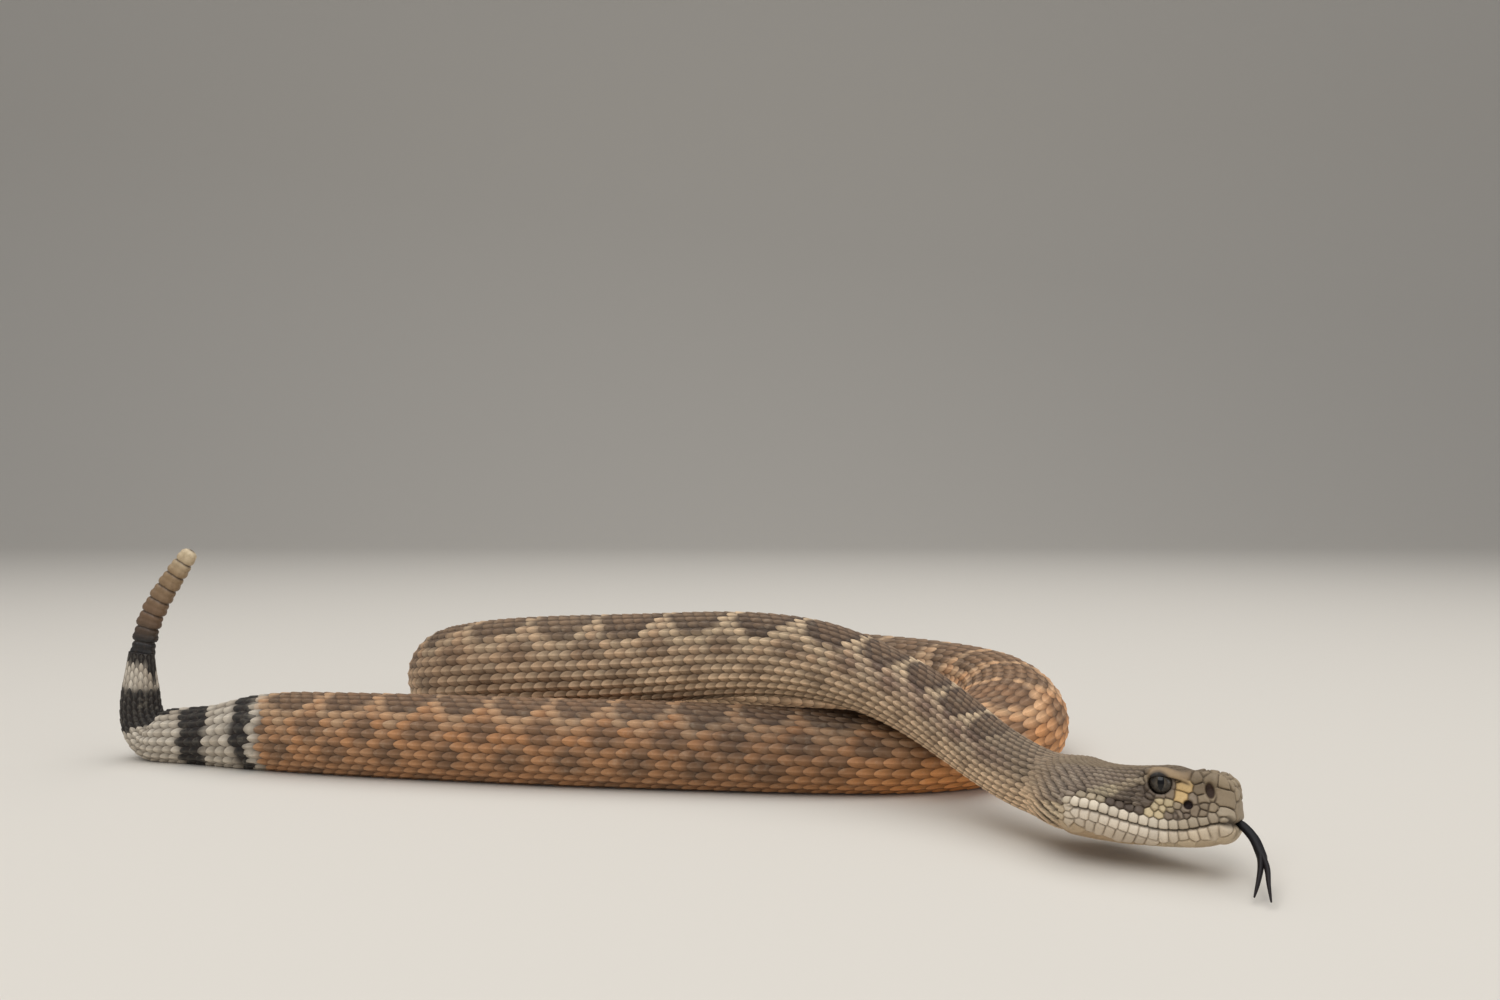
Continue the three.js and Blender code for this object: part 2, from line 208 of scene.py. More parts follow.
def head_ring(u, v):
    """Outline of the head at u: a closed smooth curve through sixteen points set by the head's rows."""
    front, reach, blunt, middle = SNOUT_ROUND
    half, crown, low, mouth, top = table_at(HEAD_ROWS, np.maximum(u, front))
    wide = lambda f: crown + f * (half - crown)
    right = [(crown * 0.55, top - 0.02), (crown, top - 0.6), (wide(0.5), top - 0.42 * (top - mouth)),
             (half, mouth + 1.6), (half * 0.97, mouth - 0.6), (half * 0.86, low + 0.38 * (mouth - low)),
             (half * 0.62, low + 0.3)]
    ring = [(0 * top, top + 0.05)] + right + [(0 * low, low)] + [(-x, z) for x, z in right[::-1]]
    xs, zs = np.stack([r[0] for r in ring]), np.stack([r[1] for r in ring])
    f = v * 16
    i = np.floor(f).astype(int)
    t = f - i
    w = [-t / 2 + t**2 - t**3 / 2, 1 - 2.5 * t**2 + 1.5 * t**3,
         t / 2 + 2 * t**2 - 1.5 * t**3, (t**3 - t**2) / 2]
    cols = np.indices(i.shape)
    take = lambda a: sum(w[k] * a[((i + k - 1) % 16, *cols)] for k in range(4))
    x, z = take(xs), take(zs)
    shrink = (1 - np.clip((front - u) / reach, 0, 1) ** blunt) ** (1 / blunt)
    return x * shrink, middle + (z - middle) * shrink


def grid_normals(p):
    """Outward normals of a grid closed round its columns: cross product of its two directions."""
    n = unit(np.cross(np.gradient(p, axis=0), np.roll(p, -1, 1) - np.roll(p, 1, 1)))
    return n * np.sign(np.sum(n * (p - p.mean(axis=1, keepdims=True))))


def whole_form(s, v):
    """The head's outline that turns into the body's ring behind the jaws."""
    x, z = head_ring(np.minimum(s, HEAD_LENGTH), v)
    head = head_place(np.minimum(s, HEAD_LENGTH), x, z)
    return mix(head, body_form(s, v), smooth(s, 36, HEAD_LENGTH))


# The whole outline as a table of points, even in girth: rows every millimetre, columns by share of girth
ROW_STEP = 1.0
TABLE_S = np.arange(-1.0, BODY_END + 0.5, ROW_STEP)
TABLE_G = 256


def girth_table():
    """Points, normals, girth and turn of every row, the columns spread evenly by length round the body."""
    s, v = grid(TABLE_S, TURNS)
    p = whole_form(s, v % 1.0)
    arc = running(np.linalg.norm(np.diff(p, axis=1), axis=2))
    girth = arc[:, -1]
    want = np.arange(TABLE_G) / TABLE_G
    even = np.stack([read_line(want * g, a, q) for a, g, q in zip(arc, girth, p)])
    turn = np.stack([np.interp(want * g, a, TURNS) for a, g in zip(arc, girth)])
    return even, grid_normals(even), girth, turn


TABLE_P, TABLE_N, TABLE_GIRTH, TABLE_TURN = girth_table()


def on_body(s, g, lift=0.0):
    """Point at distance s and share of girth g, lift above the skin, which lies a coat's depth inside."""
    fs = np.clip((np.asarray(s) - TABLE_S[0]) / ROW_STEP, 0, len(TABLE_S) - 1.001)
    fg = (np.asarray(g) % 1.0) * TABLE_G
    i, j = fs.astype(int), fg.astype(int) % TABLE_G
    a, b = (fs - i)[..., None], (fg - np.floor(fg))[..., None]
    k = (j + 1) % TABLE_G
    between_rows = lambda t, column: t[i, column] * (1 - a) + t[i + 1, column] * a
    blend = lambda t: between_rows(t, j) * (1 - b) + between_rows(t, k) * b
    return blend(TABLE_P) + unit(blend(TABLE_N)) * (np.asarray(lift) - COAT)[..., None]


def girth_at(s):
    """Length round the body at distances s."""
    return np.interp(s, TABLE_S, TABLE_GIRTH)


def head_spot(s, g):
    """Side and height in head coordinates of the place s, g."""
    i = np.clip(np.round((np.asarray(s) - TABLE_S[0]) / ROW_STEP).astype(int), 0, len(TABLE_S) - 1)
    turn = TABLE_TURN[i, np.round((np.asarray(g) % 1.0) * TABLE_G).astype(int) % TABLE_G]
    return head_ring(np.minimum(s, HEAD_LENGTH), turn)


def paint(r, g, b):
    """Linear light of a colour given as sRGB bytes."""
    c = np.array([r, g, b]) / 255.0
    return np.where(c <= 0.04045, c / 12.92, ((c + 0.055) / 1.055) ** 2.4)


GREY_BROWN, OLIVE_BROWN, ORANGE_TAN = paint(172, 146, 117), paint(112, 92, 70), paint(168, 116, 72)
BLOTCH, BLOTCH_EDGE, PALE_EDGE = paint(98, 74, 54), paint(66, 51, 40), paint(204, 180, 146)
BELLY_CREAM, FLANK_PALE = paint(206, 182, 144), paint(199, 170, 137)
RING_BLACK, RING_WHITE, RING_GREY = paint(22, 20, 20), paint(204, 193, 176), paint(150, 136, 118)

# Count of back blotches passed at distances from the snout: close on the neck and toward the tail
BLOTCH_COUNT = np.array([[54, 0], [67, 1], [94, 3], [122, 5], [164, 7], [214, 9], [520, 21.5], [824, 37.5]])
VENT = 821.0


def hash01(*parts):
    """Repeatable random number in 0..1 from arrays of numbers."""
    total = sum(np.asarray(p, float) * k for p, k in zip(parts, (12.9898, 78.233, 37.719)))
    return np.abs(np.sin(total) * 43758.5453) % 1.0


def spots(along, across, q, half_long, half_wide, rough):
    """Soft oval spots: 1 inside where the oval's measure is under 1, fading past it."""
    oval = np.hypot(along / half_long, (q - across) / half_wide) + rough
    return smooth(oval, 1.25, 0.65)


def tail_rings(s, q):
    """Black rings of the tail, the last two starting further forward along the spine."""
    starts = (825.5 + 0 * q, 844.0 + 2 * smooth(q, 0.55, 0.8), 858 + 24 * smooth(q, 0.05, 0.4),
              901 + 6 * smooth(q, 0.02, 0.18))
    ends = (833.0 - 2.5 * smooth(q, 0.4, 0.8), 854.5, 898.5, 930.0)
    return sum(smooth(s, a - 0.9, a + 0.9) * smooth(s, b + 0.9, b - 0.9) for a, b in zip(starts, ends))


def painted_light(s, q):
    """Differences of brightness along the body, such as the brighter right bend and pale lower flank."""
    return (1 + 0.28 * hill(s - 565, 38) + 0.28 * hill(s - 588, 14)
            - 0.36 * hill(s - 662, 38) * smooth(q, 0.8, 0.5)
            + 0.12 * hill(s - 360, 90) + 0.25 * smooth(s, 95, 60) * smooth(q, 0.4, 0.6)
            + 0.32 * smooth(q, 0.48, 0.66) * smooth(s, 110, 160) * smooth(s, 420, 300)
            + 0.16 * hill(s - 618, 16) * smooth(q, 0.3, 0.5)
            - 0.10 * hill(s - 138, 40) * smooth(q, 0.15, 0.4))


def body_colour(s, g, dice):
    """Grey-brown ground that warms toward the tail; rounded back blotches with dark edges and pale borders;
    two or three rows of smaller spots on each flank, every second row half a step on; ringed tail."""
    q = np.abs((g + 0.5) % 1.0 - 0.5) * 2
    one = np.ones(np.shape(s) + (3,))
    rough = (dice - 0.5) * 0.24
    rear = smooth(s, 470, 590)
    warm = 0.10 + 0.12 * smooth(s, 120, 300) + 0.60 * rear - 0.15 * smooth(s, 740, 820)
    warm = np.clip(warm + 0.30 * smooth(q, 0.25, 0.7) * rear + (dice - 0.5) * 0.3, 0, 1)
    phase = np.interp(s, BLOTCH_COUNT[:, 0], BLOTCH_COUNT[:, 1])
    count = np.round(phase)
    on, between = np.abs(phase - count), np.abs(phase - np.floor(phase) - 0.5)
    shown = smooth(s, 56, 64)
    soft = smooth(s, 120, 230)
    blotch_half = 0.28 - 0.05 * rear + 0.04 * hash01(count)
    blotch = ((on / 0.43) ** 2 + (q / blotch_half) ** 2) ** 0.5 + rough
    blotch_tone = mix(BLOTCH, OLIVE_BROWN, 0.4 * hash01(count, 3) + 0 * s)
    spot = 0.22 + 0.03 * rear
    c = coats(
        GREY_BROWN * one,
        (ORANGE_TAN, warm),
        (paint(136, 120, 99), 0.65 * smooth(s, 105, 62)),
        (FLANK_PALE, (0.50 + 0.35 * smooth(s, 210, 120)) * smooth(q, 0.34, 0.60) * (1 - 0.8 * rear)),
        (PALE_EDGE, (0.62 - 0.36 * soft) * shown * smooth(blotch, 1.50, 1.15) * smooth(blotch, 0.9, 1.05)),
        (blotch_tone, (0.92 - 0.16 * soft) * shown * smooth(blotch, 1.18, 0.90)),
        (BLOTCH_EDGE, (0.70 - 0.35 * soft) * shown * smooth(blotch, 1.10, 0.94) * smooth(blotch, 0.62, 0.84)),
        (BLOTCH, (0.56 + 0.12 * rear) * shown * spots(between, 0.38, q, spot, 0.085 + 0.015 * rear, rough)),
        (BLOTCH, (0.42 + 0.24 * rear) * shown * spots(on, 0.56, q, spot, 0.075 + 0.025 * rear, rough)),
        (BLOTCH, 0.50 * rear * spots(between, 0.76, q, 0.22, 0.07, rough)),
        (paint(138, 108, 94), 0.50 * hill(q - 0.33, 0.09) * smooth(s, 48, 58) * smooth(s, 135, 95)),
        (paint(104, 87, 70), 0.55 * smooth(q, 0.5, 0.2) * smooth(s, 74, 62)),
        (paint(218, 146, 80), 0.75 * hill(s - 612, 34) * smooth(q, 0.4, 0.62)),
        (BELLY_CREAM, smooth(q, 0.80, 0.9)))
    c = c * ((0.90 + 0.20 * np.asarray(dice)) * painted_light(s, q))[..., None]
    white = mix(RING_WHITE * one, RING_GREY, 0.55 * dice + 0.25 * smooth(q, 0.5, 0.1))
    ring_place = s - 5 * smooth(q, 0.38, 0.05) * smooth(s, 868, 852)
    tail = mix(white, RING_BLACK, np.clip(tail_rings(ring_place, q), 0, 1))
    return mix(c, tail, smooth(ring_place + rough * 3, VENT, VENT + 2.5))


# Mesh making
def new_piece(name, points, faces, material, attributes=None, uv=None):
    """A mesh object from arrays in millimetres, faces as groups of quads or triangles, with float or colour
    attributes per point and a UV map per point."""
    mesh = bpy.data.meshes.new(name)
    points = np.asarray(points, float).reshape(-1, 3) * MM
    loops = np.concatenate([f.ravel() for f in faces])
    counts = np.concatenate([np.full(len(f), f.shape[1]) for f in faces])
    mesh.vertices.add(len(points))
    mesh.vertices.foreach_set("co", points.ravel())
    mesh.loops.add(len(loops))
    mesh.loops.foreach_set("vertex_index", loops.astype(np.int32))
    mesh.polygons.add(len(counts))
    mesh.polygons.foreach_set("loop_start", (np.cumsum(counts) - counts).astype(np.int32))
    mesh.polygons.foreach_set("loop_total", counts.astype(np.int32))
    mesh.polygons.foreach_set("use_smooth", np.ones(len(counts), bool))
    for key, values in (attributes or {}).items():
        values = np.asarray(values, float)
        if values.ndim == 2:
            layer = mesh.attributes.new(key, "FLOAT_COLOR", "POINT")
            layer.data.foreach_set("color", np.concatenate([values, np.ones((len(values), 1))], 1).ravel())
        else:
            mesh.attributes.new(key, "FLOAT", "POINT").data.foreach_set("value", values.ravel())
    if uv is not None:
        layer = mesh.uv_layers.new(name="OFBake")
        layer.data.foreach_set("uv", np.asarray(uv, float)[loops].ravel())
    mesh.update()
    mesh.validate()
    mesh.materials.append(material)
    piece = bpy.data.objects.new(name, mesh)
    bpy.context.scene.collection.objects.link(piece)
    return piece


def grid_faces(rows, cols, closed=False, flip=False):
    """Quads of a grid of points, the columns joined round when closed."""
    i, j = grid(np.arange(rows - 1), np.arange(cols if closed else cols - 1))
    k = (j + 1) % cols
    a, b, c, d = (i * cols + j, i * cols + k, (i + 1) * cols + k, (i + 1) * cols + j)
    return np.stack([a, d, c, b] if flip else [a, b, c, d], -1).reshape(-1, 4)


def closed_faces(rows, cols, flip=False):
    """Quads of a grid closed round its columns, and a fan at each end to the two points after the grid's."""
    j = np.arange(cols)
    k = (j + 1) % cols
    end = (rows - 1) * cols
    first = [j, k] if flip else [k, j]
    last = [end + k, end + j] if flip else [end + j, end + k]
    fans = [np.stack([np.full(cols, rows * cols + i)] + fan, -1) for i, fan in enumerate((first, last))]
    return [grid_faces(rows, cols, True, flip)] + fans


def sheets(points):
    """Quads of many equal small grids of points."""
    n, rows, cols = points.shape[:3]
    starts = (np.arange(n) * rows * cols)[:, None, None]
    return [(grid_faces(rows, cols)[None] + starts).reshape(-1, 4)]


def coat_marks(marking, keel, root):
    """The attributes that the scales' material reads."""
    # root carries painted shade: at scale roots, under the plate before, and in the face's grooves and
    # creases
    return {"marking": marking.reshape(-1, 3), "keel": keel.ravel(), "root": root.ravel()}


def bake_along(s):
    """Place of distance s along the bake map."""
    return (s + MAP_LEAD) / MAP_LENGTH


# Shader wiring
def arithmetic(kind, reflected=False):
    """An operator that adds one maths node."""
    def operator(self, other):
        values = (other, self) if reflected else (self, other)
        return self.tree.node("ShaderNodeMath", dict(enumerate(values)), operation=kind)
    return operator


class Wire:
    """A node socket that takes part in Python arithmetic."""

    def __init__(self, tree, socket):
        self.tree, self.socket = tree, socket

    __add__, __radd__ = arithmetic("ADD"), arithmetic("ADD", True)
    __sub__, __rsub__ = arithmetic("SUBTRACT"), arithmetic("SUBTRACT", True)
    __mul__, __rmul__ = arithmetic("MULTIPLY"), arithmetic("MULTIPLY", True)
    __truediv__, __rtruediv__ = arithmetic("DIVIDE"), arithmetic("DIVIDE", True)


class Finish:
    """A material under construction."""

    def __init__(self, name):
        self.material = bpy.data.materials.new(name)
        self.material.use_nodes = True
        self.nodes = self.material.node_tree.nodes
        self.links = self.material.node_tree.links
        self.shader = next(n for n in self.nodes if n.type == "BSDF_PRINCIPLED")

    def feed(self, socket, value):
        """Links a wire to a socket, or sets the socket's own number or colour."""
        if isinstance(value, Wire):
            self.links.new(value.socket, socket)
        elif hasattr(socket.default_value, "__len__"):
            padded = list(np.atleast_1d(value)) + [1.0] * 4
            socket.default_value = padded[:len(socket.default_value)]
        else:
            socket.default_value = float(value)

    def node(self, kind, values=None, out=0, **settings):
        """Any node: its settings first, then its sockets' values or links."""
        made = self.nodes.new(kind)
        for key, value in settings.items():
            setattr(made, key, value)
        for key, value in (values or {}).items():
            self.feed(made.inputs[key], value)
        return Wire(self, made.outputs[out])

    def over(self, ground, *layers):
        """Ground colour with each layer, a colour and its share, laid over it in turn."""
        for colour, share in layers:
            ground = self.node("ShaderNodeMix", {0: share, 6: ground, 7: colour}, 2, data_type="RGBA")
        return ground

    def attribute(self, name, out="Fac"):
        """One of the piece's own attributes."""
        return self.node("ShaderNodeAttribute", out=out, attribute_name=name)

    def noise(self, scale, detail=3.0, rough=0.55):
        """Noise in object coordinates."""
        place = self.node("ShaderNodeTexCoord", out="Object")
        return self.node("ShaderNodeTexNoise",
                         {"Vector": place, "Scale": scale, "Detail": detail, "Roughness": rough})

    def ramp(self, value, low, high):
        """0 at low, 1 at high, straight between."""
        return self.node("ShaderNodeMapRange", {0: value, 1: low, 2: high, 3: 0.0, 4: 1.0})

    def bump(self, height, strength, distance):
        """Normal of a fine relief."""
        return self.node("ShaderNodeBump", {"Height": height, "Strength": strength, "Distance": distance})

    def set(self, **values):
        """Feeds the shader's sockets and hands back the material."""
        for key, value in values.items():
            self.feed(self.shader.inputs[key.replace("_", " ")], value)
        return self.material


def scale_finish(name, roughness=0.62, grain=1.0):
    """Dry keratin over pigment: the marking colour, fine dark peppering, pale keels partly painted as
    highlight, and painted shade at the roots and in the grooves.
    """
    f = Finish(name)
    pepper = f.ramp(f.noise(2600.0, 4.0, 0.7), 0.52, 0.72)
    mottle = f.ramp(f.noise(420.0), 0.55, 0.85)
    colour = f.over(
        f.attribute("marking", "Color"),
        (paint(70, 55, 44), pepper * (0.30 * grain)),
        (paint(236, 222, 196), mottle * (0.16 * grain)),
        # Pale keels and tips: partly the scales' own colour, partly painted highlight
        (paint(232, 218, 194), f.attribute("keel") * 0.06),
        # Painted shade from the root attribute: scale roots, gaps between scales, and grooves of the face
        (paint(48, 36, 28), f.attribute("root") * 0.72))
    rough = f.ramp(f.noise(900.0, 2.0), 0.3, 0.7) * 0.16 + roughness
    fine = f.noise(3800.0, 3.0, 0.6)
    return f.set(Base_Color=colour, Roughness=rough, Normal=f.bump(fine, 0.35, 0.00012),
                 Specular_IOR_Level=0.35)


def skin_finish():
    """Bare skin between the scales: the same markings, darker and drier, the darkening partly painted shade
    for the gaps under the scales.
    """
    f = Finish("skin_between_scales")
    # Darkening of the bare skin in the gaps: partly darker skin, partly painted shade under the scales
    dark_skin_and_gap_shade = f.ramp(f.noise(700.0), 0.35, 0.7) * 0.35 + 0.35
    colour = f.over(f.attribute("marking", "Color"), (paint(40, 31, 25), dark_skin_and_gap_shade))
    return f.set(Base_Color=colour, Roughness=0.8, Normal=f.bump(f.noise(2500.0), 0.4, 0.0001))


FLESH = (["head", "lower_jaw"] + ["neck_%02d" % i for i in (1, 2)] + ["trunk_%02d" % i for i in range(1, 15)]
         + ["tail_%02d" % i for i in (1, 2, 3)])
scale_skin = scale_finish("scales")
face_skin = scale_finish("face_shields", 0.5, 0.7)
bare_skin = skin_finish()


def skin_piece():
    """One skin from snout to rattle: rings of the outline, a coat's depth inside, closed at both ends."""
    s = np.concatenate([np.linspace(0.4, 46, 70), np.arange(48.0, BODY_END + 0.4, 2.6)])
    g = np.arange(48) / 48
    ss, gg = grid(s, g)
    sunk = -1.9 * (1 - smooth(ss, 40, 50))
    p = on_body(ss, gg, sunk)
    colour = body_colour(ss, gg, np.full(ss.shape, 0.5))
    points = np.concatenate([p.reshape(-1, 3), p[:1].mean(axis=1), p[-1:].mean(axis=1)])
    marks = np.concatenate([colour.reshape(-1, 3), colour[0, :1], colour[-1, :1]])
    uv = np.stack([bake_along(ss), gg], -1).reshape(-1, 2)
    uv = np.concatenate([uv, [[0, 0.5], [0.99, 0.5]]])
    piece = new_piece("skin", points, closed_faces(*ss.shape), bare_skin,
                      attributes={"marking": marks}, uv=uv)
    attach(piece, "root")
    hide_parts(*FLESH)


# Rows of scales: how many round the body and the tail, and the share of the girth that they cover
DORSAL_ROWS, TAIL_ROWS, DORSAL_SHARE = 25, 17, 0.86
# Where the columns start, and their step at distances along the body
FIRST_COLUMN = 43.0
STEPS = ([0, 50, 110, 220, 450, 760, 850, 911], [2.3, 2.5, 3.1, 4.2, 4.9, 4.6, 3.7, 2.8])
# Distances where one coat piece ends and the next begins
COAT_PARTS = [40, 215, 385, 560, 740, 920]
# One scale: places across and along it, and its half width at those along: narrow root, rounded point
SCALE_X = np.array([-1.0, -0.86, -0.45, -0.13, 0.0, 0.13, 0.45, 0.86, 1.0])
SCALE_T = np.array([0.0, 0.14, 0.38, 0.62, 0.82, 0.94, 1.0])
SCALE_HALF = np.array([0.52, 0.80, 0.98, 0.96, 0.70, 0.38, 0.10])
# How far a scale and a belly plate reach over the next, in steps
LAP, SCUTE_LAP = 1.50, 1.22


def at_border(t, x):
    """True on the border of a scale."""
    return (np.abs(x) > 0.99) | (t > 0.99) | (t < 0.01)


def off_floor(points):
    """Points lifted to just over the floor where they lie lower."""
    points[..., 2] = np.maximum(points[..., 2], FLOOR_GAP)
    return points


def lay_scales(name, s0, g0, length, width, dice, colour, lift=1.0, keel=1.0, slant=0.0, base=0.0):
    """Overlapping keeled scales: each a domed leaf rooted under the one before, rising to its tip, with a
    ridge along its middle and a rim turned down all round. The colour is a function of distance, share of
    girth and a number of the scale's own, read nearer to the scale's middle than the point lies."""
    s0, g0, length, width, dice, lift, keel, slant, base = [
        np.reshape(a, (-1, 1, 1)) for a in (s0, g0, length, width, dice, lift, keel, slant, base)]
    t, x = [a[None] for a in grid(SCALE_T, SCALE_X)]
    forward = (t - 0.42) * length
    across = x * (width / 2 * SCALE_HALF[:, None])
    forward, across = forward - across * np.sin(slant), across + forward * np.sin(slant)
    s = s0 + forward
    g = g0 + across / girth_at(s0)
    ends = (1 - 0.5 * smooth(s0, 62, 46) * smooth(s0, 40, 43)) * (1 - 0.75 * smooth(s0, 880, 906))
    size = np.minimum(1.0, length / 6.0) * ends * lift
    dome = 1 - 0.55 * np.abs(x) ** 2.2
    ridge = keel * 0.26 * hill(x, 0.14) * smooth(t, 0.02, 0.3) * smooth(t, 1.02, 0.85)
    rise = (0.10 + 0.52 * t ** 0.9) * dome + ridge
    points = off_floor(on_body(s, g, base + size * np.where(at_border(t, x), rise - 0.30, rise)))
    # Pale keel and tip: partly the scale's own colour, partly painted highlight on the ridge and tip
    keel_mark = np.maximum(hill(x, 0.16) * smooth(t, 0.1, 0.35), 0.75 * smooth(t, 0.62, 0.9))
    # Painted shade at the root, where the scale before lies over it, and along the sides next to its
    # neighbours
    root = np.maximum(smooth(t, 0.52, 0.22), smooth(np.abs(x), 0.80, 1.0) * 0.75)
    keel_mark, root = [np.broadcast_to(a, s.shape) for a in (keel_mark, root)]
    share = 0.6 - 0.3 * smooth(s0, VENT - 6, VENT)
    # Strength of the pale keels and tips against the darker rest, partly painted highlight; stronger on the
    # neck
    keel_pale_and_highlight = 0.62 - 0.30 * smooth(s0, 150, 300)
    marks = colour(s0 + (s - s0) * share, g0 + (g - g0) * share, dice + 0 * s)
    marks = marks * (0.90 + keel_pale_and_highlight * (keel_mark - 0.1))[..., None]
    uv = np.stack([bake_along(s0) + (t - 0.5) * PATCH, g0 % 1.0 + x * PATCH / 2 + 0 * t], -1)
    piece = new_piece(name, points, sheets(points), scale_skin, coat_marks(marks, keel_mark, root),
                      np.clip(uv, MAP_EDGE, 1 - MAP_EDGE).reshape(-1, 2))
    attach(piece, "root")


def column_stations(start, end):
    """Distances of the scale columns: the step follows the size of the body."""
    out = [start]
    while out[-1] < end:
        out.append(out[-1] + float(np.interp(out[-1], *STEPS)))
    return np.array(out)


def lattice(columns, rows, salt):
    """Places of a stretch of scales: rows spread over the back and flanks, every second one set back by half
    a step, each place shifted a little."""
    step = np.gradient(columns)
    c, r = grid(np.arange(len(columns)), np.arange(rows) - rows // 2)
    s0 = columns[c] + 0.5 * (r % 2) * step[c] + (hash01(c, r, salt) - 0.5) * 0.25
    g0 = r * DORSAL_SHARE / rows + (hash01(c, r, salt + 5) - 0.5) * 0.0012
    width = girth_at(s0) * DORSAL_SHARE / rows * (1.06 + 0.14 * smooth(s0, 120, 240))
    keel = np.interp(np.abs(g0), [0, 0.32, 0.41], [1.0, 0.9, 0.25])
    return [a.ravel() for a in (s0, g0, step[c] * LAP, width, keel, hash01(c, r, salt + 9))]


def body_scales():
    """Keeled scales of the body and, in fewer rows, of the tail, parted into coat pieces."""
    body = lattice(column_stations(FIRST_COLUMN, VENT), DORSAL_ROWS, 0)
    tail = lattice(column_stations(VENT + 3.5, BODY_END - 1.5), TAIL_ROWS, 50)
    every = [np.concatenate(pair) for pair in zip(body, tail)]
    for i, (start, end) in enumerate(zip(COAT_PARTS[:-1], COAT_PARTS[1:])):
        inside = (every[0] >= start) & (every[0] < end)
        s0, g0, length, width, keel, dice = [a[inside] for a in every]
        lay_scales("scales_%02d" % (i + 1), s0, g0, length, width, dice, body_colour, keel=keel)


def belly_scutes():
    """Broad plates across the belly, one to each column of scales, stepping down at the rear edge."""
    columns = column_stations(FIRST_COLUMN, BODY_END - 3)
    step = np.gradient(columns)[:, None, None]
    dice = hash01(np.arange(len(columns)), 77)[:, None, None]
    columns = columns[:, None, None]
    t, x = [a[None] for a in grid([0.0, 0.2, 0.55, 0.85, 0.97, 1.0], np.linspace(-1, 1, 17))]
    s = columns + (t * SCUTE_LAP + 0.06 * (1 - x**2) * t) * step - 0.5
    half = (1 - DORSAL_SHARE) / 4 * 1.30
    g = 0.5 + x * half * (1 - 0.12 * t) + 0 * s
    height = np.where(at_border(t, x), 0.0, 0.06 + 0.34 * t) * np.ones(s.shape)
    points = off_floor(on_body(s, g, height))
    colour = body_colour(columns + 0 * s, g, (dice + 0 * s) * 0.6 + 0.4)
    uv = np.stack([bake_along(columns) + (t - 0.5) * PATCH, g], -1)
    # Painted shade across the front of each plate, where it lies under the plate before
    root = np.broadcast_to(smooth(t, 0.25, 0.05), s.shape)
    piece = new_piece("belly_scutes", points, sheets(points), scale_skin,
                      coat_marks(colour, np.zeros(s.size), root), uv.reshape(-1, 2))
    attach(piece, "root")


# The head's shields: back, height and size against a common shield, from the side
FACE_SHIELDS = [
    (9.4, 20.9, 1.35), (9.8, 18.5, 1.2), (7.4, 18.3, 0.95), (5.9, 20.4, 1.1), (1.3, 19.8, 1.45),
    (6.8, 15.7, 0.95), (4.9, 17.2, 0.8), (3.1, 16.9, 0.8), (5.3, 15.3, 0.8), (1.0, 15.7, 1.15),
    (10.4, 16.3, 0.75), (12.4, 16.7, 0.8), (14.2, 16.9, 0.7), (12.0, 14.9, 0.8), (15.2, 15.2, 0.85),
    (8.6, 14.6, 0.7), (3.6, 22.8, 1.1), (7.0, 22.9, 0.95), (1.0, 22.6, 1.2), (17.0, 19.6, 0.7),
    (16.6, 17.6, 0.7), (17.6, 21.6, 0.7), (13.6, 15.0, 0.8), (10.5, 14.2, 0.85)]
# Shields on the front of the snout: back, side, height and size
FRONT_SHIELDS = [
    [-1.2, 0, 16.8, 1.5], [-0.6, 1.9, 20.6, 1.0], [-0.6, -1.9, 20.6, 1.0], [-0.2, 0, 11.8, 1.2],
    [0.2, 1.2, 22.4, 0.9], [0.2, -1.2, 22.4, 0.9]]
# Rows of lip shields: their step, and each row's height over the mouth and its count
LIP_STEP, LIP_ROWS = 2.05, ((1.25, 16), (-1.35, 16), (3.45, 15), (-3.75, 15))
# Step of the loose shields along the head and round it
LOOSE_STEP, LOOSE_ROW = 1.75, 1.95
# Brow ridge: front, rear, height of its ends, how much its middle is higher
BROW = (7.6, 17.6, 21.8, 1.0)


def ring_side(back, height):
    """Side of the head's outline at a height, worked out from a fine ring at each back."""
    back, v = grid(np.asarray(back, float), np.linspace(0, 0.5, 181))
    x, z = head_ring(back, v)
    return np.array([np.interp(-h, -zz, xx) for h, zz, xx in zip(height, z, x)])


def mouth_at(back):
    """Height of the mouth line at distances back from the snout."""
    return table_at(HEAD_ROWS, np.clip(back, SNOUT_ROUND[0], HEAD_LENGTH))[3]


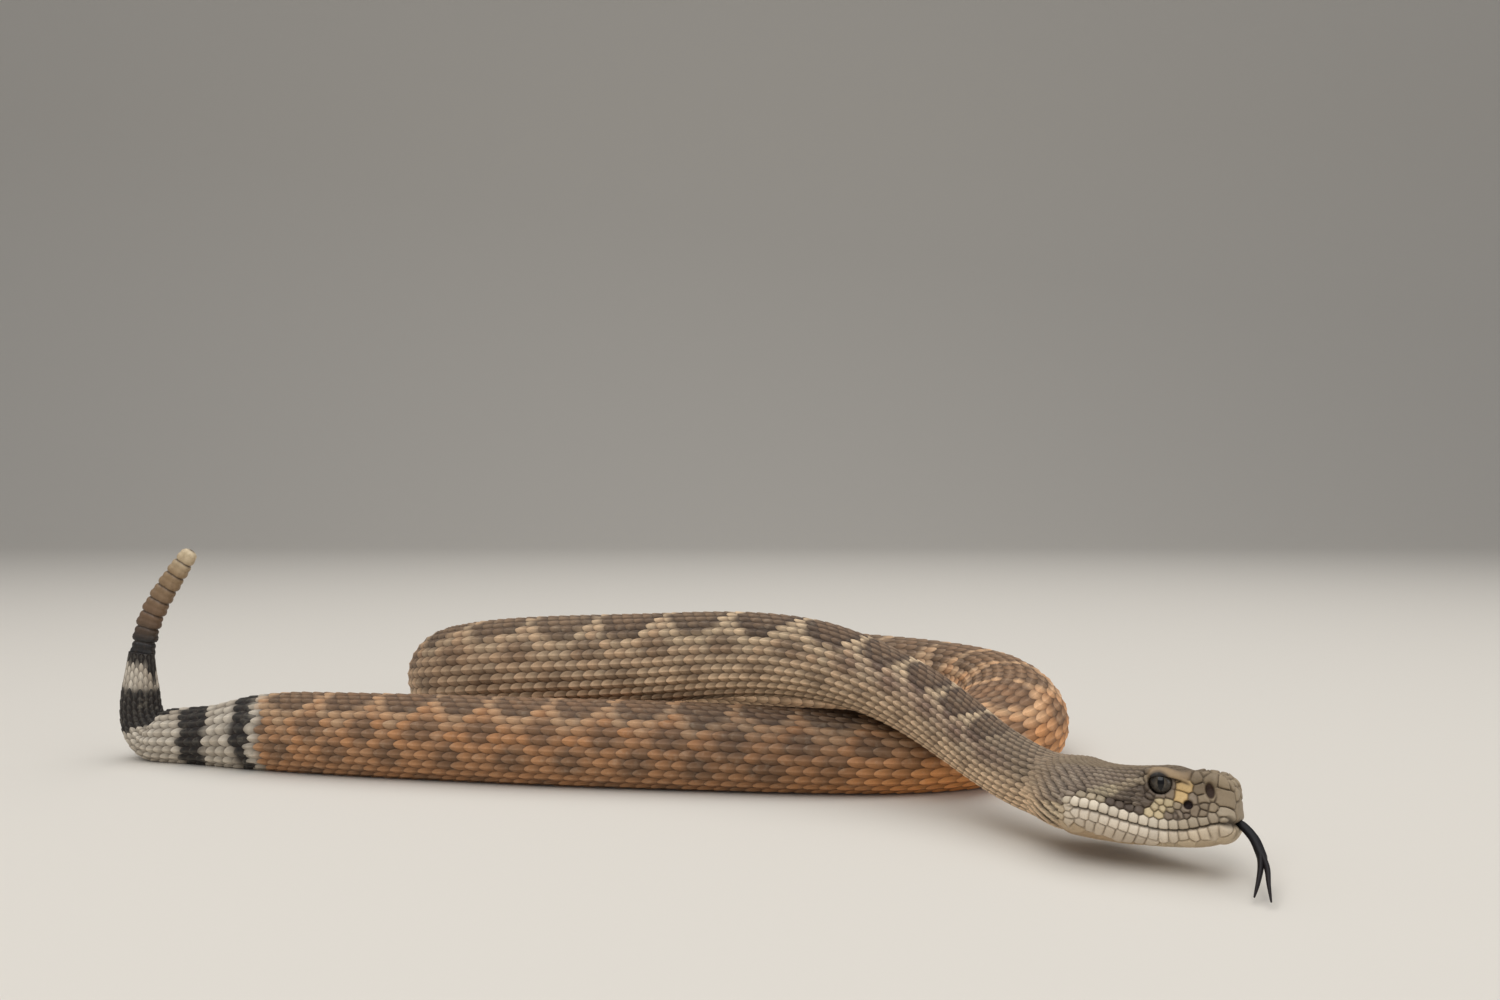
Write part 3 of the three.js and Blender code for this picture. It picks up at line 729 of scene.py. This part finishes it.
def face_seeds():
    """Middles of the head's shields: the named ones, rows along the lips, and a loose lattice elsewhere."""
    named = np.array(FACE_SHIELDS)
    sets = [np.stack([named[:, 0], ring_side(named[:, 0], named[:, 1]), named[:, 1], named[:, 2]], -1)]
    for rise, count in LIP_ROWS:
        back = 0.9 + LIP_STEP * (np.arange(count) + (0.5 if abs(rise) > 2 else 0.0))
        back = back[(back > (14.5 if rise < 0 else 8.5)) | (abs(rise) < 2)]
        height = mouth_at(back) + rise
        sets.append(np.stack([back, ring_side(back, height), height, np.full(len(back), 0.98)], -1))
    fixed = np.vstack(sets)
    fixed = np.vstack([fixed, fixed * [1, -1, 1, 1], FRONT_SHIELDS])
    number = np.arange(-25, 26)
    back, g = grid(np.arange(0.0, 52.0, LOOSE_STEP), number / 50.0)
    row = np.round(back / LOOSE_STEP)
    pitch = LOOSE_ROW / girth_at(back)
    g = (number[None] + 0.5 * (row % 2)) * pitch + (hash01(row, g * 50) - 0.5) * 0.3 * pitch
    back = back + (hash01(row, g * 91, 2) - 0.5) * 0.5
    keep = np.abs(g) < 0.5
    x, z = head_spot(back, g)
    loose = np.stack([back, x, z, 0.92 + 0.2 * hash01(row, g * 13)], -1)[keep]
    apart = np.linalg.norm(loose[:, None, :3] - fixed[None, :, :3], axis=-1) / fixed[None, :, 3]
    lips = loose[:, 2] - mouth_at(loose[:, 0])
    on_lip = (loose[:, 0] < 33) & (lips < 2.6) & (lips > -2.8 - 1.8 * (loose[:, 0] > 14))
    throat = (lips < -2.6) & (hash01(loose[:, 0] * 7, loose[:, 1] * 3) < 0.6)
    return np.vstack([fixed, loose[(apart.min(axis=1) > 1.45) & ~on_lip & ~throat]])


def nearest_shields(points, seeds):
    """Index of each point's shield, and how far inside that shield's border the point is."""
    index, inside = [], []
    for part in np.array_split(points, max(1, len(points) // 3000)):
        d = np.linalg.norm(part[:, None] - seeds[None, :, :3], axis=-1) / seeds[None, :, 3]
        two = np.argpartition(d, 1, axis=1)[:, :2]
        near = np.take_along_axis(d, two, 1)
        swap = near[:, 0] > near[:, 1]
        two[swap], near[swap] = two[swap][:, ::-1], near[swap][:, ::-1]
        index.append(two[:, 0])
        inside.append((near[:, 1] - near[:, 0]) * seeds[two[:, 0], 3])
    return np.concatenate(index), np.concatenate(inside)


def head_colour(back, side, height, dice):
    """Olive crown, grey-brown temples, a dark patch behind the eye between cream bands, yellow shields before
    the eye, greyer snout, white lips and a tan throat that is darker further below the mouth, partly painted
    shade under the head."""
    def band(start, end, wide, narrow):
        """Stripe along the straight line between two places on the side of the head."""
        a = np.array(start)
        way = np.array(end) - a
        t = np.clip(((back - a[0]) * way[0] + (height - a[1]) * way[1]) / (way @ way), 0, 1)
        return smooth(np.hypot(back - a[0] - t * way[0], height - a[1] - t * way[1]), wide, narrow)

    over = height - mouth_at(back)
    one = np.ones(np.shape(back) + (3,))
    crown = smooth(np.abs(side), 9.5, 6.5) * smooth(height, 18.5, 21.5)
    lip = smooth(back, 35.5, 31.5) * smooth(back, -0.5, 1.0)
    upper = lip * smooth(over, 2.6, 2.2) * smooth(over, -0.1, 0.1)
    under = smooth(over, 0.1, -0.1)
    lip_depth = 1.6 * smooth(back, 14, 16)
    low_lip = under * lip * smooth(over, -2.9 - lip_depth, -2.4 - lip_depth)
    rear_lip = smooth(back, 8, 16)
    patch = band((16.6, 17.2), (25.0, 15.6), 3.7, 2.5) * smooth(over, 2.0, 3.0) * smooth(back, 15.4, 16.8)
    c = coats(
        paint(128, 112, 96) * one,
        (paint(110, 94, 73), crown),
        (paint(92, 76, 60), 0.55 * crown * smooth(dice, 0.6, 0.9)),
        (paint(152, 138, 120), 0.35 * (1 - crown) * smooth(dice, 0.55, 0.9)),
        (paint(152, 134, 108), smooth(back, 9.5, 4.0) * (0.55 + 0.25 * dice)),
        (mix(paint(80, 67, 56), paint(98, 84, 70), dice), patch),
        (paint(164, 146, 118), 0.45 * band((17.6, 21.8), (24.6, 18.0), 1.3, 0.6)),
        (paint(180, 164, 134), 0.62 * band((24.6, 18.0), (32.5, 14.6), 1.8, 0.9)),
        (paint(212, 192, 152), 0.85 * band((12.0, 17.0), (16.4, 13.6), 2.0, 1.3)),
        (paint(206, 174, 122), smooth(np.hypot(back - 9.6, (height - 19.8) * 0.75), 2.4, 1.9)),
        (mix(paint(178, 162, 138), paint(218, 204, 182), rear_lip), upper),
        (paint(132, 116, 98), 0.45 * upper * smooth(back, 11, 6) * smooth(dice, 0.3, 0.8)),
        # Underside darker further below the mouth and along the lower lip's lower edge: partly tan colour,
        # partly painted shade under the head
        (mix(paint(200, 180, 150), paint(178, 152, 120), smooth(over, -3.0, -6.5)), under),
        (mix(paint(214, 196, 170), paint(230, 216, 196), rear_lip), 0.95 * low_lip),
        (paint(176, 154, 126), 0.45 * low_lip * smooth(over, -2.6, -3.2)),
        (paint(160, 142, 116), 0.6 * smooth(back, 1.2, -0.6) * (1 - under)))
    return c * (0.90 + 0.2 * np.asarray(dice))[..., None]


# Rows of the face's sheet: rounding of the snout, face, nape; its columns, and how much they crowd the sides
SHEET_ROWS, SHEET_COLUMNS, SHEET_CROWD = (41, 205, 10), 384, 0.3


def head_sheet():
    """Relief of the face: the head's outline, each shield a pillow between grooves, with sockets for the
    eyes, brow ridges, nostrils, pits and the line of the mouth."""
    front, reach, blunt, _ = SNOUT_ROUND
    cap, face, nape = SHEET_ROWS
    turn = np.linspace(np.pi / 2, 0, cap + 1)[1:]
    u = np.concatenate([front - reach * np.sin(turn) ** (2 / blunt), np.linspace(front, 38.0, face + 1)[1:],
                        np.linspace(38.0, 51.0, nape + 1)[1:]])
    cols = SHEET_COLUMNS
    share = np.arange(cols) / cols
    share = share + SHEET_CROWD * np.sin(4 * np.pi * share) / (4 * np.pi)
    x, z = head_ring(*grid(np.minimum(u, HEAD_LENGTH), TURNS % 1.0))
    v = np.stack([np.interp(share * a[-1], a, TURNS) for a in running(np.hypot(np.diff(x), np.diff(z)))])
    uu = np.repeat(u[:, None], cols, 1)
    x, z = head_ring(np.minimum(uu, HEAD_LENGTH), v)
    base = whole_form(uu, v)
    normal = grid_normals(base)
    seeds = face_seeds()
    local = np.stack([uu, x, z], -1)
    pick, inside = [a.reshape(uu.shape) for a in nearest_shields(local.reshape(-1, 3), seeds)]
    seed = seeds[pick]
    dice = hash01(seed[..., 0] * 3, seed[..., 1] * 5, seed[..., 2] * 7)
    over = z - mouth_at(uu)
    flank = np.abs(x) > 3.0
    far = np.where(flank, 0, 9)
    # Distances from the openings, in units of their own sizes for the nostril
    near_nose = np.hypot((uu - NOSTRIL[0]) / 1.2, (z - NOSTRIL[1]) / 1.9) + far
    nostril = np.hypot((uu - NOSTRIL[0] - 0.15 * (z - NOSTRIL[1])) / 1.1, (z - NOSTRIL[1]) / 1.9) + far
    pit = np.hypot(uu - PIT[0], z - PIT[1]) + far
    eye = np.hypot(uu - EYE["back"], z - EYE["height"]) + np.where(flank, 0.0, 99.0)
    # Pillows, grooves and keels
    chin = 2.6 + 1.9 * smooth(uu, 13.5, 15.5)
    smoothed = smooth(over, -chin, -chin - 1.2) * 0.8
    groove = np.exp(-(inside / 0.26) ** 2) * (1 - smoothed)
    groove = groove * smooth(near_nose, 0.9, 1.4) * smooth(pit, 0.95, 1.35)
    relief = 0.16 - 0.50 * groove - 0.22 * np.exp(-inside / 0.5) * (1 - smoothed)
    from_middle = np.hypot(x - seed[..., 1], z - seed[..., 2])
    keel = hill(from_middle, 0.22) * smooth(uu, 11, 15) * smooth(over, 3.5, 4.5)
    # Lips, mouth line, eye sockets, nostrils and pits
    lips = smooth(uu, 34.5, 31)
    slit = lips * hill(over + 0.05, 0.26 + 0.5 * smooth(uu, 2.5, -0.5))
    lip_swell = 0.25 * lips * (hill(over - 1.3, 1.2) + hill(over + 1.3, 1.2))
    relief = relief + 0.12 * keel + lip_swell - 0.75 * slit
    socket = smooth(eye, 2.62, 2.28)
    rim = hill(eye - 2.95, 0.40)
    relief = relief + (0.34 - relief) * rim * 0.9 - 2.6 * socket
    open_nose, open_pit = smooth(nostril, 1.02, 0.72), smooth(pit, 1.15, 0.85)
    relief = (relief - open_nose + 0.12 * hill(nostril - 1.35, 0.3)
              - 1.3 * open_pit + 0.12 * hill(pit - 1.5, 0.3))
    # Brow ridges over the eyes, the edge of the snout, and the fall to the small scales behind
    b0, b1, ends, arch = BROW
    along = np.clip((uu - b0) / (b1 - b0), 0, 1)
    ridge = ends + arch * np.sin(np.pi * along) + 0.25 * along
    brow = smooth(uu, b0 - 0.2, b0 + 1.4) * smooth(uu, b1 + 0.2, b1 - 1.2) * flank
    under_brow = smooth(z, ridge - 0.75, ridge - 0.40)
    inner = np.abs(x) - 4.9 + 0.5 * np.cos(2 * np.pi * along)
    crest = under_brow * smooth(inner, -0.12, 0.22) * brow
    relief = relief + (0.12 - relief) * crest
    push = crest * (0.25 + 0.95 * smooth(uu, b0, b0 + 4.5) * hill(z - ridge, 1.5))
    edge = hill(np.abs(x) - 5.6, 1.4) * smooth(z, 20.5, 22.5)
    relief = (relief
              + edge * (0.75 * smooth(uu, 1.0, 2.6) * smooth(uu, 10.0, 7.5) + 0.5 * hill(uu - 2.6, 1.3))
              - 0.5 * smooth(uu, 15, 22) * smooth(over, 2.5, 4.4) * smooth(uu, 34.5, 33)
              - 0.95 * smooth(uu, 33.2, 37.2)
              + 0.30 * (dice - 0.4) * smooth(z, 19.5, 21.5) * smooth(uu, 11, 7) * smooth(inside, 0.05, 0.5))
    relief = relief * (1 - smooth(uu, 40, 46)) - smooth(uu, 40, 46)
    # Colours
    brow_tan = smooth(np.abs(x), 5.8, 7.6) * (1 - 0.4 * along)
    tones = coats(
        head_colour(seed[..., 0], seed[..., 1], seed[..., 2], dice),
        (mix(paint(120, 101, 78), paint(164, 138, 104), brow_tan), crest * 0.92),
        (body_colour(uu, v, dice), smooth(uu, 38, 47)),
        # Painted shade inside the nostrils, the pits and the eye sockets
        (paint(52, 30, 22), open_nose * 0.92),
        (paint(34, 10, 8), open_pit),
        (paint(30, 25, 22), socket))
    # Painted shade: grooves between shields, the mouth line, a ring round the eye, under the brow's edge and
    # along its inner side
    painted_groove_shade = groove * (0.85 - 0.35 * smooth(over, 0.5, -0.5) * (over > -9))
    dark = np.maximum.reduce([
        np.clip(painted_groove_shade + slit, 0, 1) * (1 - crest),
        0.75 * hill(eye - 2.60, 0.28),
        brow * hill(z - ridge + 0.75, 0.28) * flank * smooth(uu, b1 - 0.4, b1 - 1.8),
        0.8 * brow * hill(inner, 0.22) * smooth(z, ridge - 0.2, ridge + 0.6)])
    outward = unit(head_place(uu, x + np.sign(x), z) - head_place(uu, x, z))
    points = base + normal * relief[..., None] + outward * push[..., None]
    tip = base[:1].mean(axis=1) + unit(normal[0].mean(axis=0))[None] * relief[0].mean()
    uv = np.stack([bake_along(uu), np.broadcast_to(share, uu.shape)], -1).reshape(-1, 2)
    marks = np.concatenate([tones.reshape(-1, 3), tones[:1].mean(axis=1)])
    piece = new_piece("head_shields", np.concatenate([points.reshape(-1, 3), tip]),
                      closed_faces(len(u), cols, flip=True)[:2], face_skin,
                      coat_marks(marks, np.append(keel * 0.6, 0), np.append(dark, 0)),
                      np.concatenate([uv, [[MAP_EDGE, 0.5]]]))
    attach(piece, "root")


# Step of the crown's small scales along the head and round it
HEAD_STEP, HEAD_ROW = 1.55, 1.08


def nape_colour(s, g, dice):
    """The head's colours that turn into the body's behind the jaws."""
    x, z = head_spot(s, g)
    return mix(head_colour(s, x, z, dice), body_colour(s, g % 1.0, dice), smooth(s, 34, 46))


def head_scales():
    """Small keeled scales of the crown behind the eyes, the temples and the sides of the throat."""
    columns = np.arange(14.5, 44.0, HEAD_STEP)
    c, r = grid(np.arange(len(columns)), np.arange(-34, 35))
    s0 = columns[c] + (0.5 * HEAD_STEP) * (r % 2) + (hash01(c, r) - 0.5) * 0.35
    spread = 1 + 0.55 * smooth(s0, 28, 44)
    g0 = r * HEAD_ROW * spread / girth_at(s0)
    x, z = head_spot(s0, g0)
    over = z - mouth_at(s0)
    clear = np.hypot(s0 - EYE["back"], z - EYE["height"]) > 4.2
    start = 17.6 - 2.2 * smooth(np.abs(x), 6.0, 4.5)
    keep = (np.abs(g0) < 0.44) & (s0 > start) & clear & (over > 4.3 - 14 * smooth(s0, 31.0, 36.5))
    s0, g0, c, r, spread, over = [a[keep] for a in (s0, g0, c, r, spread, over)]
    flat = smooth(s0, 34, 42)
    lay_scales("head_scales", s0, g0,
               HEAD_STEP * 1.62 * spread * (1 - 0.3 * smooth(over, 2, -3)), HEAD_ROW * 1.22 * spread,
               hash01(c, r, 31), nape_colour, lift=1.35 - 0.45 * flat,
               slant=-0.35 * np.sign(g0) * smooth(np.abs(g0), 0.04, 0.16) * smooth(s0, 46, 34),
               base=0.30 * (1 - flat) * smooth(over, 1.5, 4.0))


def eye_finish():
    """Iris of grey flecks round an upright slit, dark at its border, under a wet clear layer."""
    f = Finish("eye_iris")
    across, up = f.attribute("across"), f.attribute("up")
    reach = f.node("ShaderNodeMath", {0: across * across + up * up}, operation="SQRT")
    width = (1.0 - (up / 0.74) * (up / 0.74)) * 0.27
    slit = f.ramp(f.node("ShaderNodeMath", {0: across}, operation="ABSOLUTE") - width, 0.03, -0.02)
    colour = f.over(
        paint(70, 63, 54),
        (paint(30, 26, 22), f.ramp(f.noise(1500.0, 5.0, 0.7), 0.42, 0.66)),
        (paint(112, 100, 82), f.ramp(reach, 0.52, 0.30) * 0.35),
        (paint(24, 20, 18), f.ramp(reach, 0.74, 0.92)),
        (paint(6, 5, 5), slit))
    return f.set(Base_Color=colour, Roughness=0.20, Coat_Weight=0.3, Coat_Roughness=0.03,
                 Specular_IOR_Level=0.2)


def eyes():
    """Each eye a ball round its gaze, with its own across and up coordinates for the iris."""
    finish = eye_finish()
    steps = np.array([[0, 0, 0], [0, 1, 0], [0, 0, 1], [-1, 0, 0]])
    for name, hand in (("right", 1), ("left", -1)):
        back, out, height = (steps + [EYE["back"], EYE["side"], EYE["height"]]).T
        centre, right, top, ahead = head_place(back, out * hand, height)
        gaze = unit((right - centre) + 0.20 * (ahead - centre) + 0.10 * (top - centre))
        up = unit((top - centre) - gaze * ((top - centre) @ gaze))
        across = np.cross(gaze, up)
        a, b = grid(np.linspace(0.0, np.pi, 49)[1:-1], circle(64))
        ball = (np.cos(a)[..., None] * gaze + (np.sin(a) * np.cos(b))[..., None] * across
                + (np.sin(a) * np.sin(b))[..., None] * up)
        ball = np.concatenate([ball.reshape(-1, 3), [gaze, -gaze]])
        front = np.where(ball @ gaze > 0, 1.0, 3.0)
        piece = new_piece("eyeball_" + name, centre + ball * EYE["radius"], closed_faces(*a.shape, flip=True),
                          finish, attributes={"across": ball @ across * front, "up": ball @ up * front})
        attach(piece, "root")
        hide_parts("eye_" + name)


def swept(path, width, thick, sides=20):
    """Points and faces of an oval carried along a path, its sizes as given, with closed ends."""
    way = unit(np.gradient(path, axis=0))
    side = unit(np.cross(way, [0.0, 0.0, 1.0]))
    up = np.cross(side, way)
    a = circle(sides)
    ring = (np.cos(a)[None, :, None] * side[:, None] * width[:, None, None]
            + np.sin(a)[None, :, None] * up[:, None] * thick[:, None, None]) / 2
    points = np.concatenate([(path[:, None] + ring).reshape(-1, 3), path[:1], path[-1:]])
    return points, closed_faces(len(path), sides)


def smooth_path(points, per=14):
    """Catmull-Rom curve through points."""
    p = np.asarray(points, float)
    p = np.vstack([2 * p[0] - p[1], p, 2 * p[-1] - p[-2]])
    t = (np.arange(per) / per)[:, None]
    parts = [0.5 * (2 * b + (c - a) * t + (2 * a - 5 * b + 4 * c - d) * t**2 + (3 * b - a - 3 * c + d) * t**3)
             for a, b, c, d in zip(p[:-3], p[1:-2], p[2:-1], p[3:])]
    return np.vstack(parts + [p[-2:-1]])


TONGUE_STEM = [[106.4, 250.6, 13.2], [111.0, 247.2, 13.0], [112.9, 243.4, 10.9], [113.2, 240.2, 8.2],
               [112.8, 238.2, 6.8]]
TONGUE_TINES = [[[111.7, 237.0, 6.0], [109.3, 233.2, 3.8], [107.7, 231.4, 1.6]],
                [[112.8, 236.4, 6.2], [111.0, 231.8, 4.2], [109.9, 228.4, 1.7]]]
TONGUE_WIDTH, TONGUE_THICKNESS, TINE_TIP = 2.5, 2.1, 0.35


def tongue():
    """Forked tongue: a flat tapering stem and two fine tines that curl under."""
    f = Finish("tongue")
    sheen = f.ramp(f.noise(900.0), 0.5, 0.75) * 0.4
    colour = f.over(paint(9, 9, 12), (paint(26, 16, 16), f.attribute("tip")), (paint(26, 26, 34), sheen))
    finish = f.set(Base_Color=colour, Roughness=0.5, Specular_IOR_Level=0.25,
                   Normal=f.bump(f.noise(1800.0), 0.3, 0.0001))
    stem = smooth_path(TONGUE_STEM)
    along = np.linspace(0, 1, len(stem))
    runs = [(stem, TONGUE_WIDTH * np.interp(along, [0, 0.85, 1], [1, 0.9, 0.75]),
             TONGUE_THICKNESS * np.interp(along, [0, 0.85, 1], [0.85, 1, 0.7]))]
    for tine in TONGUE_TINES:
        path = smooth_path([TONGUE_STEM[-2]] + tine)
        taper = np.linspace(1, 0, len(path)) ** 0.8
        runs.append((path, TINE_TIP + (TONGUE_WIDTH * 0.66 - TINE_TIP) * taper,
                     TINE_TIP + (TONGUE_THICKNESS * 0.95 - TINE_TIP) * taper))
    points, faces = np.zeros((0, 3)), []
    for path, width, thick in runs:
        more, groups = swept(path - ORIGIN, width, thick)
        faces += [group + len(points) for group in groups]
        points = np.concatenate([points, more])
    piece = new_piece("forked_tongue", points, faces, finish,
                      attributes={"tip": np.clip((12.0 - points[:, 2]) / 10.0, 0, 1)})
    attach(piece, "root")
    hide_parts("tongue")


RATTLE_LINE = [[-205.4, 366, 33.8], [-203.2, 366, 44.3], [-199.3, 366, 53.0], [-193.6, 366, 62.0],
               [-188.6, 366, 69.6]]
RATTLE_WIDTHS = [8.2, 8.4, 8.4, 8.3, 8.0, 7.6, 7.1, 6.2]
RATTLE_FLATNESS = 0.68
RATTLE_RINGS, RATTLE_SIDES = 22, 48
# One button's outline: places along it and its share of the button's width there
BUTTON_AT = [0, 0.08, 0.22, 0.38, 0.50, 0.58, 0.68, 0.80, 0.92, 1.0]
BUTTON_SHARE = [0.74, 0.92, 1.0, 0.99, 0.92, 0.895, 0.93, 0.93, 0.85, 0.74]


def rattle_finish():
    """Horn, dark and fresh at the base, paler from wear toward the tip, streaked, and with painted shade in
    the furrows between its buttons.
    """
    f = Finish("rattle_horn")
    age = f.attribute("age")
    streak = f.noise(700.0, 4.0, 0.65)
    colour = f.over(
        paint(28, 24, 22),
        (paint(112, 86, 62), f.ramp(age, 0.15, 0.36)),
        (paint(146, 120, 88), f.ramp(age, 0.40, 0.72)),
        (paint(204, 184, 150), f.ramp(age, 0.76, 0.96)),
        (paint(88, 66, 48), f.ramp(streak, 0.5, 0.75) * 0.35),
        # Painted shade in the joins between buttons
        (paint(46, 34, 26), f.attribute("groove") * 0.75))
    return f.set(Base_Color=colour, Roughness=f.ramp(streak, 0.2, 0.8) * 0.15 + 0.42,
                 Normal=f.bump(f.noise(1600.0), 0.35, 0.00015))


def rattle():
    """Eight buttons, each a lobed ring over the neck of the next, with a furrow down each flat side."""
    finish = rattle_finish()
    line = smooth_path(RATTLE_LINE, 60) - ORIGIN
    at = running(np.linalg.norm(np.diff(line, axis=0), axis=1))
    count, sides = len(RATTLE_WIDTHS), RATTLE_SIDES
    along = np.linspace(0, at[-1], count * RATTLE_RINGS + 1)
    centre = read_line(along, at, line)
    way = unit(np.gradient(centre, axis=0))
    side = np.tile([0.0, 1.0, 0.0], (len(way), 1))
    up = np.cross(way, side)
    place = along / at[-1] * count
    number = np.minimum(place.astype(int), count - 1)
    t = place - number
    profile = np.interp(t, BUTTON_AT, BUTTON_SHARE)
    profile = np.where(place < 0.2, np.maximum(profile, 0.97), profile)
    closing = np.sqrt(1 - np.clip((place - count + 0.45) / 0.45, 0, 1) ** 2)
    a = circle(sides)
    furrow = 1 - 0.13 * (hill(np.sin(a) - 1, 0.05) + hill(np.sin(a) + 1, 0.05)) - 0.03 * np.cos(4 * a)
    radius = (np.array(RATTLE_WIDTHS)[number] / 2 * profile * closing)[:, None] * furrow
    round_up = np.cos(a)[None, :, None] * up[:, None]
    round_side = RATTLE_FLATNESS * np.sin(a)[None, :, None] * side[:, None]
    points = centre[:, None] + radius[..., None] * (round_up + round_side)
    ages = np.append(np.repeat(place / count, sides), [0, 1])
    # Groove mask: painted shade in the narrow joins where each button sits in the next
    low = np.append(np.repeat(np.maximum(smooth(t, 0.10, 0.0), smooth(t, 0.9, 1.0)), sides), [1, 0])
    piece = new_piece("rattle_string", np.concatenate([points.reshape(-1, 3), centre[:1], centre[-1:]]),
                      closed_faces(len(centre), sides), finish, attributes={"age": ages, "groove": low})
    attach(piece, "root")
    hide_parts(*["rattle_%02d" % (i + 1) for i in range(count)])


skin_piece()
body_scales()
belly_scutes()
head_sheet()
head_scales()
eyes()
tongue()
rattle()


# Lamps: name, place, aim, size, power
LAMPS = (("key", (-0.35, -0.75, 1.25), (0.0, 0.0, 0.0), 1.1, 10.5),
         ("top", (0.2, 0.25, 1.3), (0.0, 0.0, 0.0), 1.4, 9.1),
         ("fill", (1.1, -0.6, 0.5), (0.1, -0.05, 0.02), 0.9, 2.8))
# Floor in metres: half width, front and rear of the flat, radius of the bend, height of the wall
FLOOR_HALF, FLOOR_FRONT, FLOOR_REAR, FLOOR_BEND, WALL_TOP = 4.0, -1.5, 1.6, 1.2, 4.0
CAMERA_HEIGHT, CAMERA_LENS, CAMERA_SENSOR = 0.0865, 26.0, 36.0


def studio():
    """Pale floor that bends up into a wall, three soft lamps, a faint sky and the photo's camera."""
    finish = Finish("pale_floor").set(Base_Color=paint(214, 208, 198), Roughness=0.9)
    a = np.linspace(0.1, np.pi / 2, 16)
    y = np.concatenate([[FLOOR_FRONT, FLOOR_REAR], FLOOR_REAR + FLOOR_BEND * np.sin(a)])
    z = np.concatenate([[0, 0], FLOOR_BEND - FLOOR_BEND * np.cos(a)])
    y, z = np.append(y, y[-1]), np.append(z, WALL_TOP)
    yy, xx = grid(y, [-FLOOR_HALF, FLOOR_HALF])
    points = np.stack([xx, yy, np.repeat(z[:, None], 2, 1)], -1)
    floor = new_piece("floor", points / MM, [grid_faces(len(y), 2, flip=True)], finish)
    for name, place, aim, size, power in LAMPS:
        light = bpy.data.lights.new(name, "AREA")
        light.shape, light.size, light.energy = "SQUARE", size, power
        lamp = bpy.data.objects.new(name, light)
        lamp.location = place
        way = np.array(aim) - np.array(place)
        tilt, turn = math.atan2(math.hypot(way[0], way[1]), -way[2]), math.atan2(way[1], way[0])
        lamp.rotation_euler = (tilt, 0, turn - math.pi / 2)
        bpy.context.scene.collection.objects.link(lamp)
    world = bpy.data.worlds.new("soft_sky")
    world.use_nodes = True
    background = world.node_tree.nodes["Background"]
    background.inputs[0].default_value = (0.86, 0.88, 0.92, 1)
    background.inputs[1].default_value = 0.40
    bpy.context.scene.world = world
    bpy.context.scene.view_settings.view_transform = "Standard"
    camera = bpy.data.cameras.new("camera")
    camera.lens, camera.sensor_width, camera.clip_start = CAMERA_LENS, CAMERA_SENSOR, 0.01
    eye = bpy.data.objects.new("camera", camera)
    eye.location = (-ORIGIN[0] * MM, -ORIGIN[1] * MM, CAMERA_HEIGHT)
    eye.rotation_euler = (math.pi / 2, 0, 0)
    bpy.context.scene.collection.objects.link(eye)
    bpy.context.scene.camera = eye


studio()
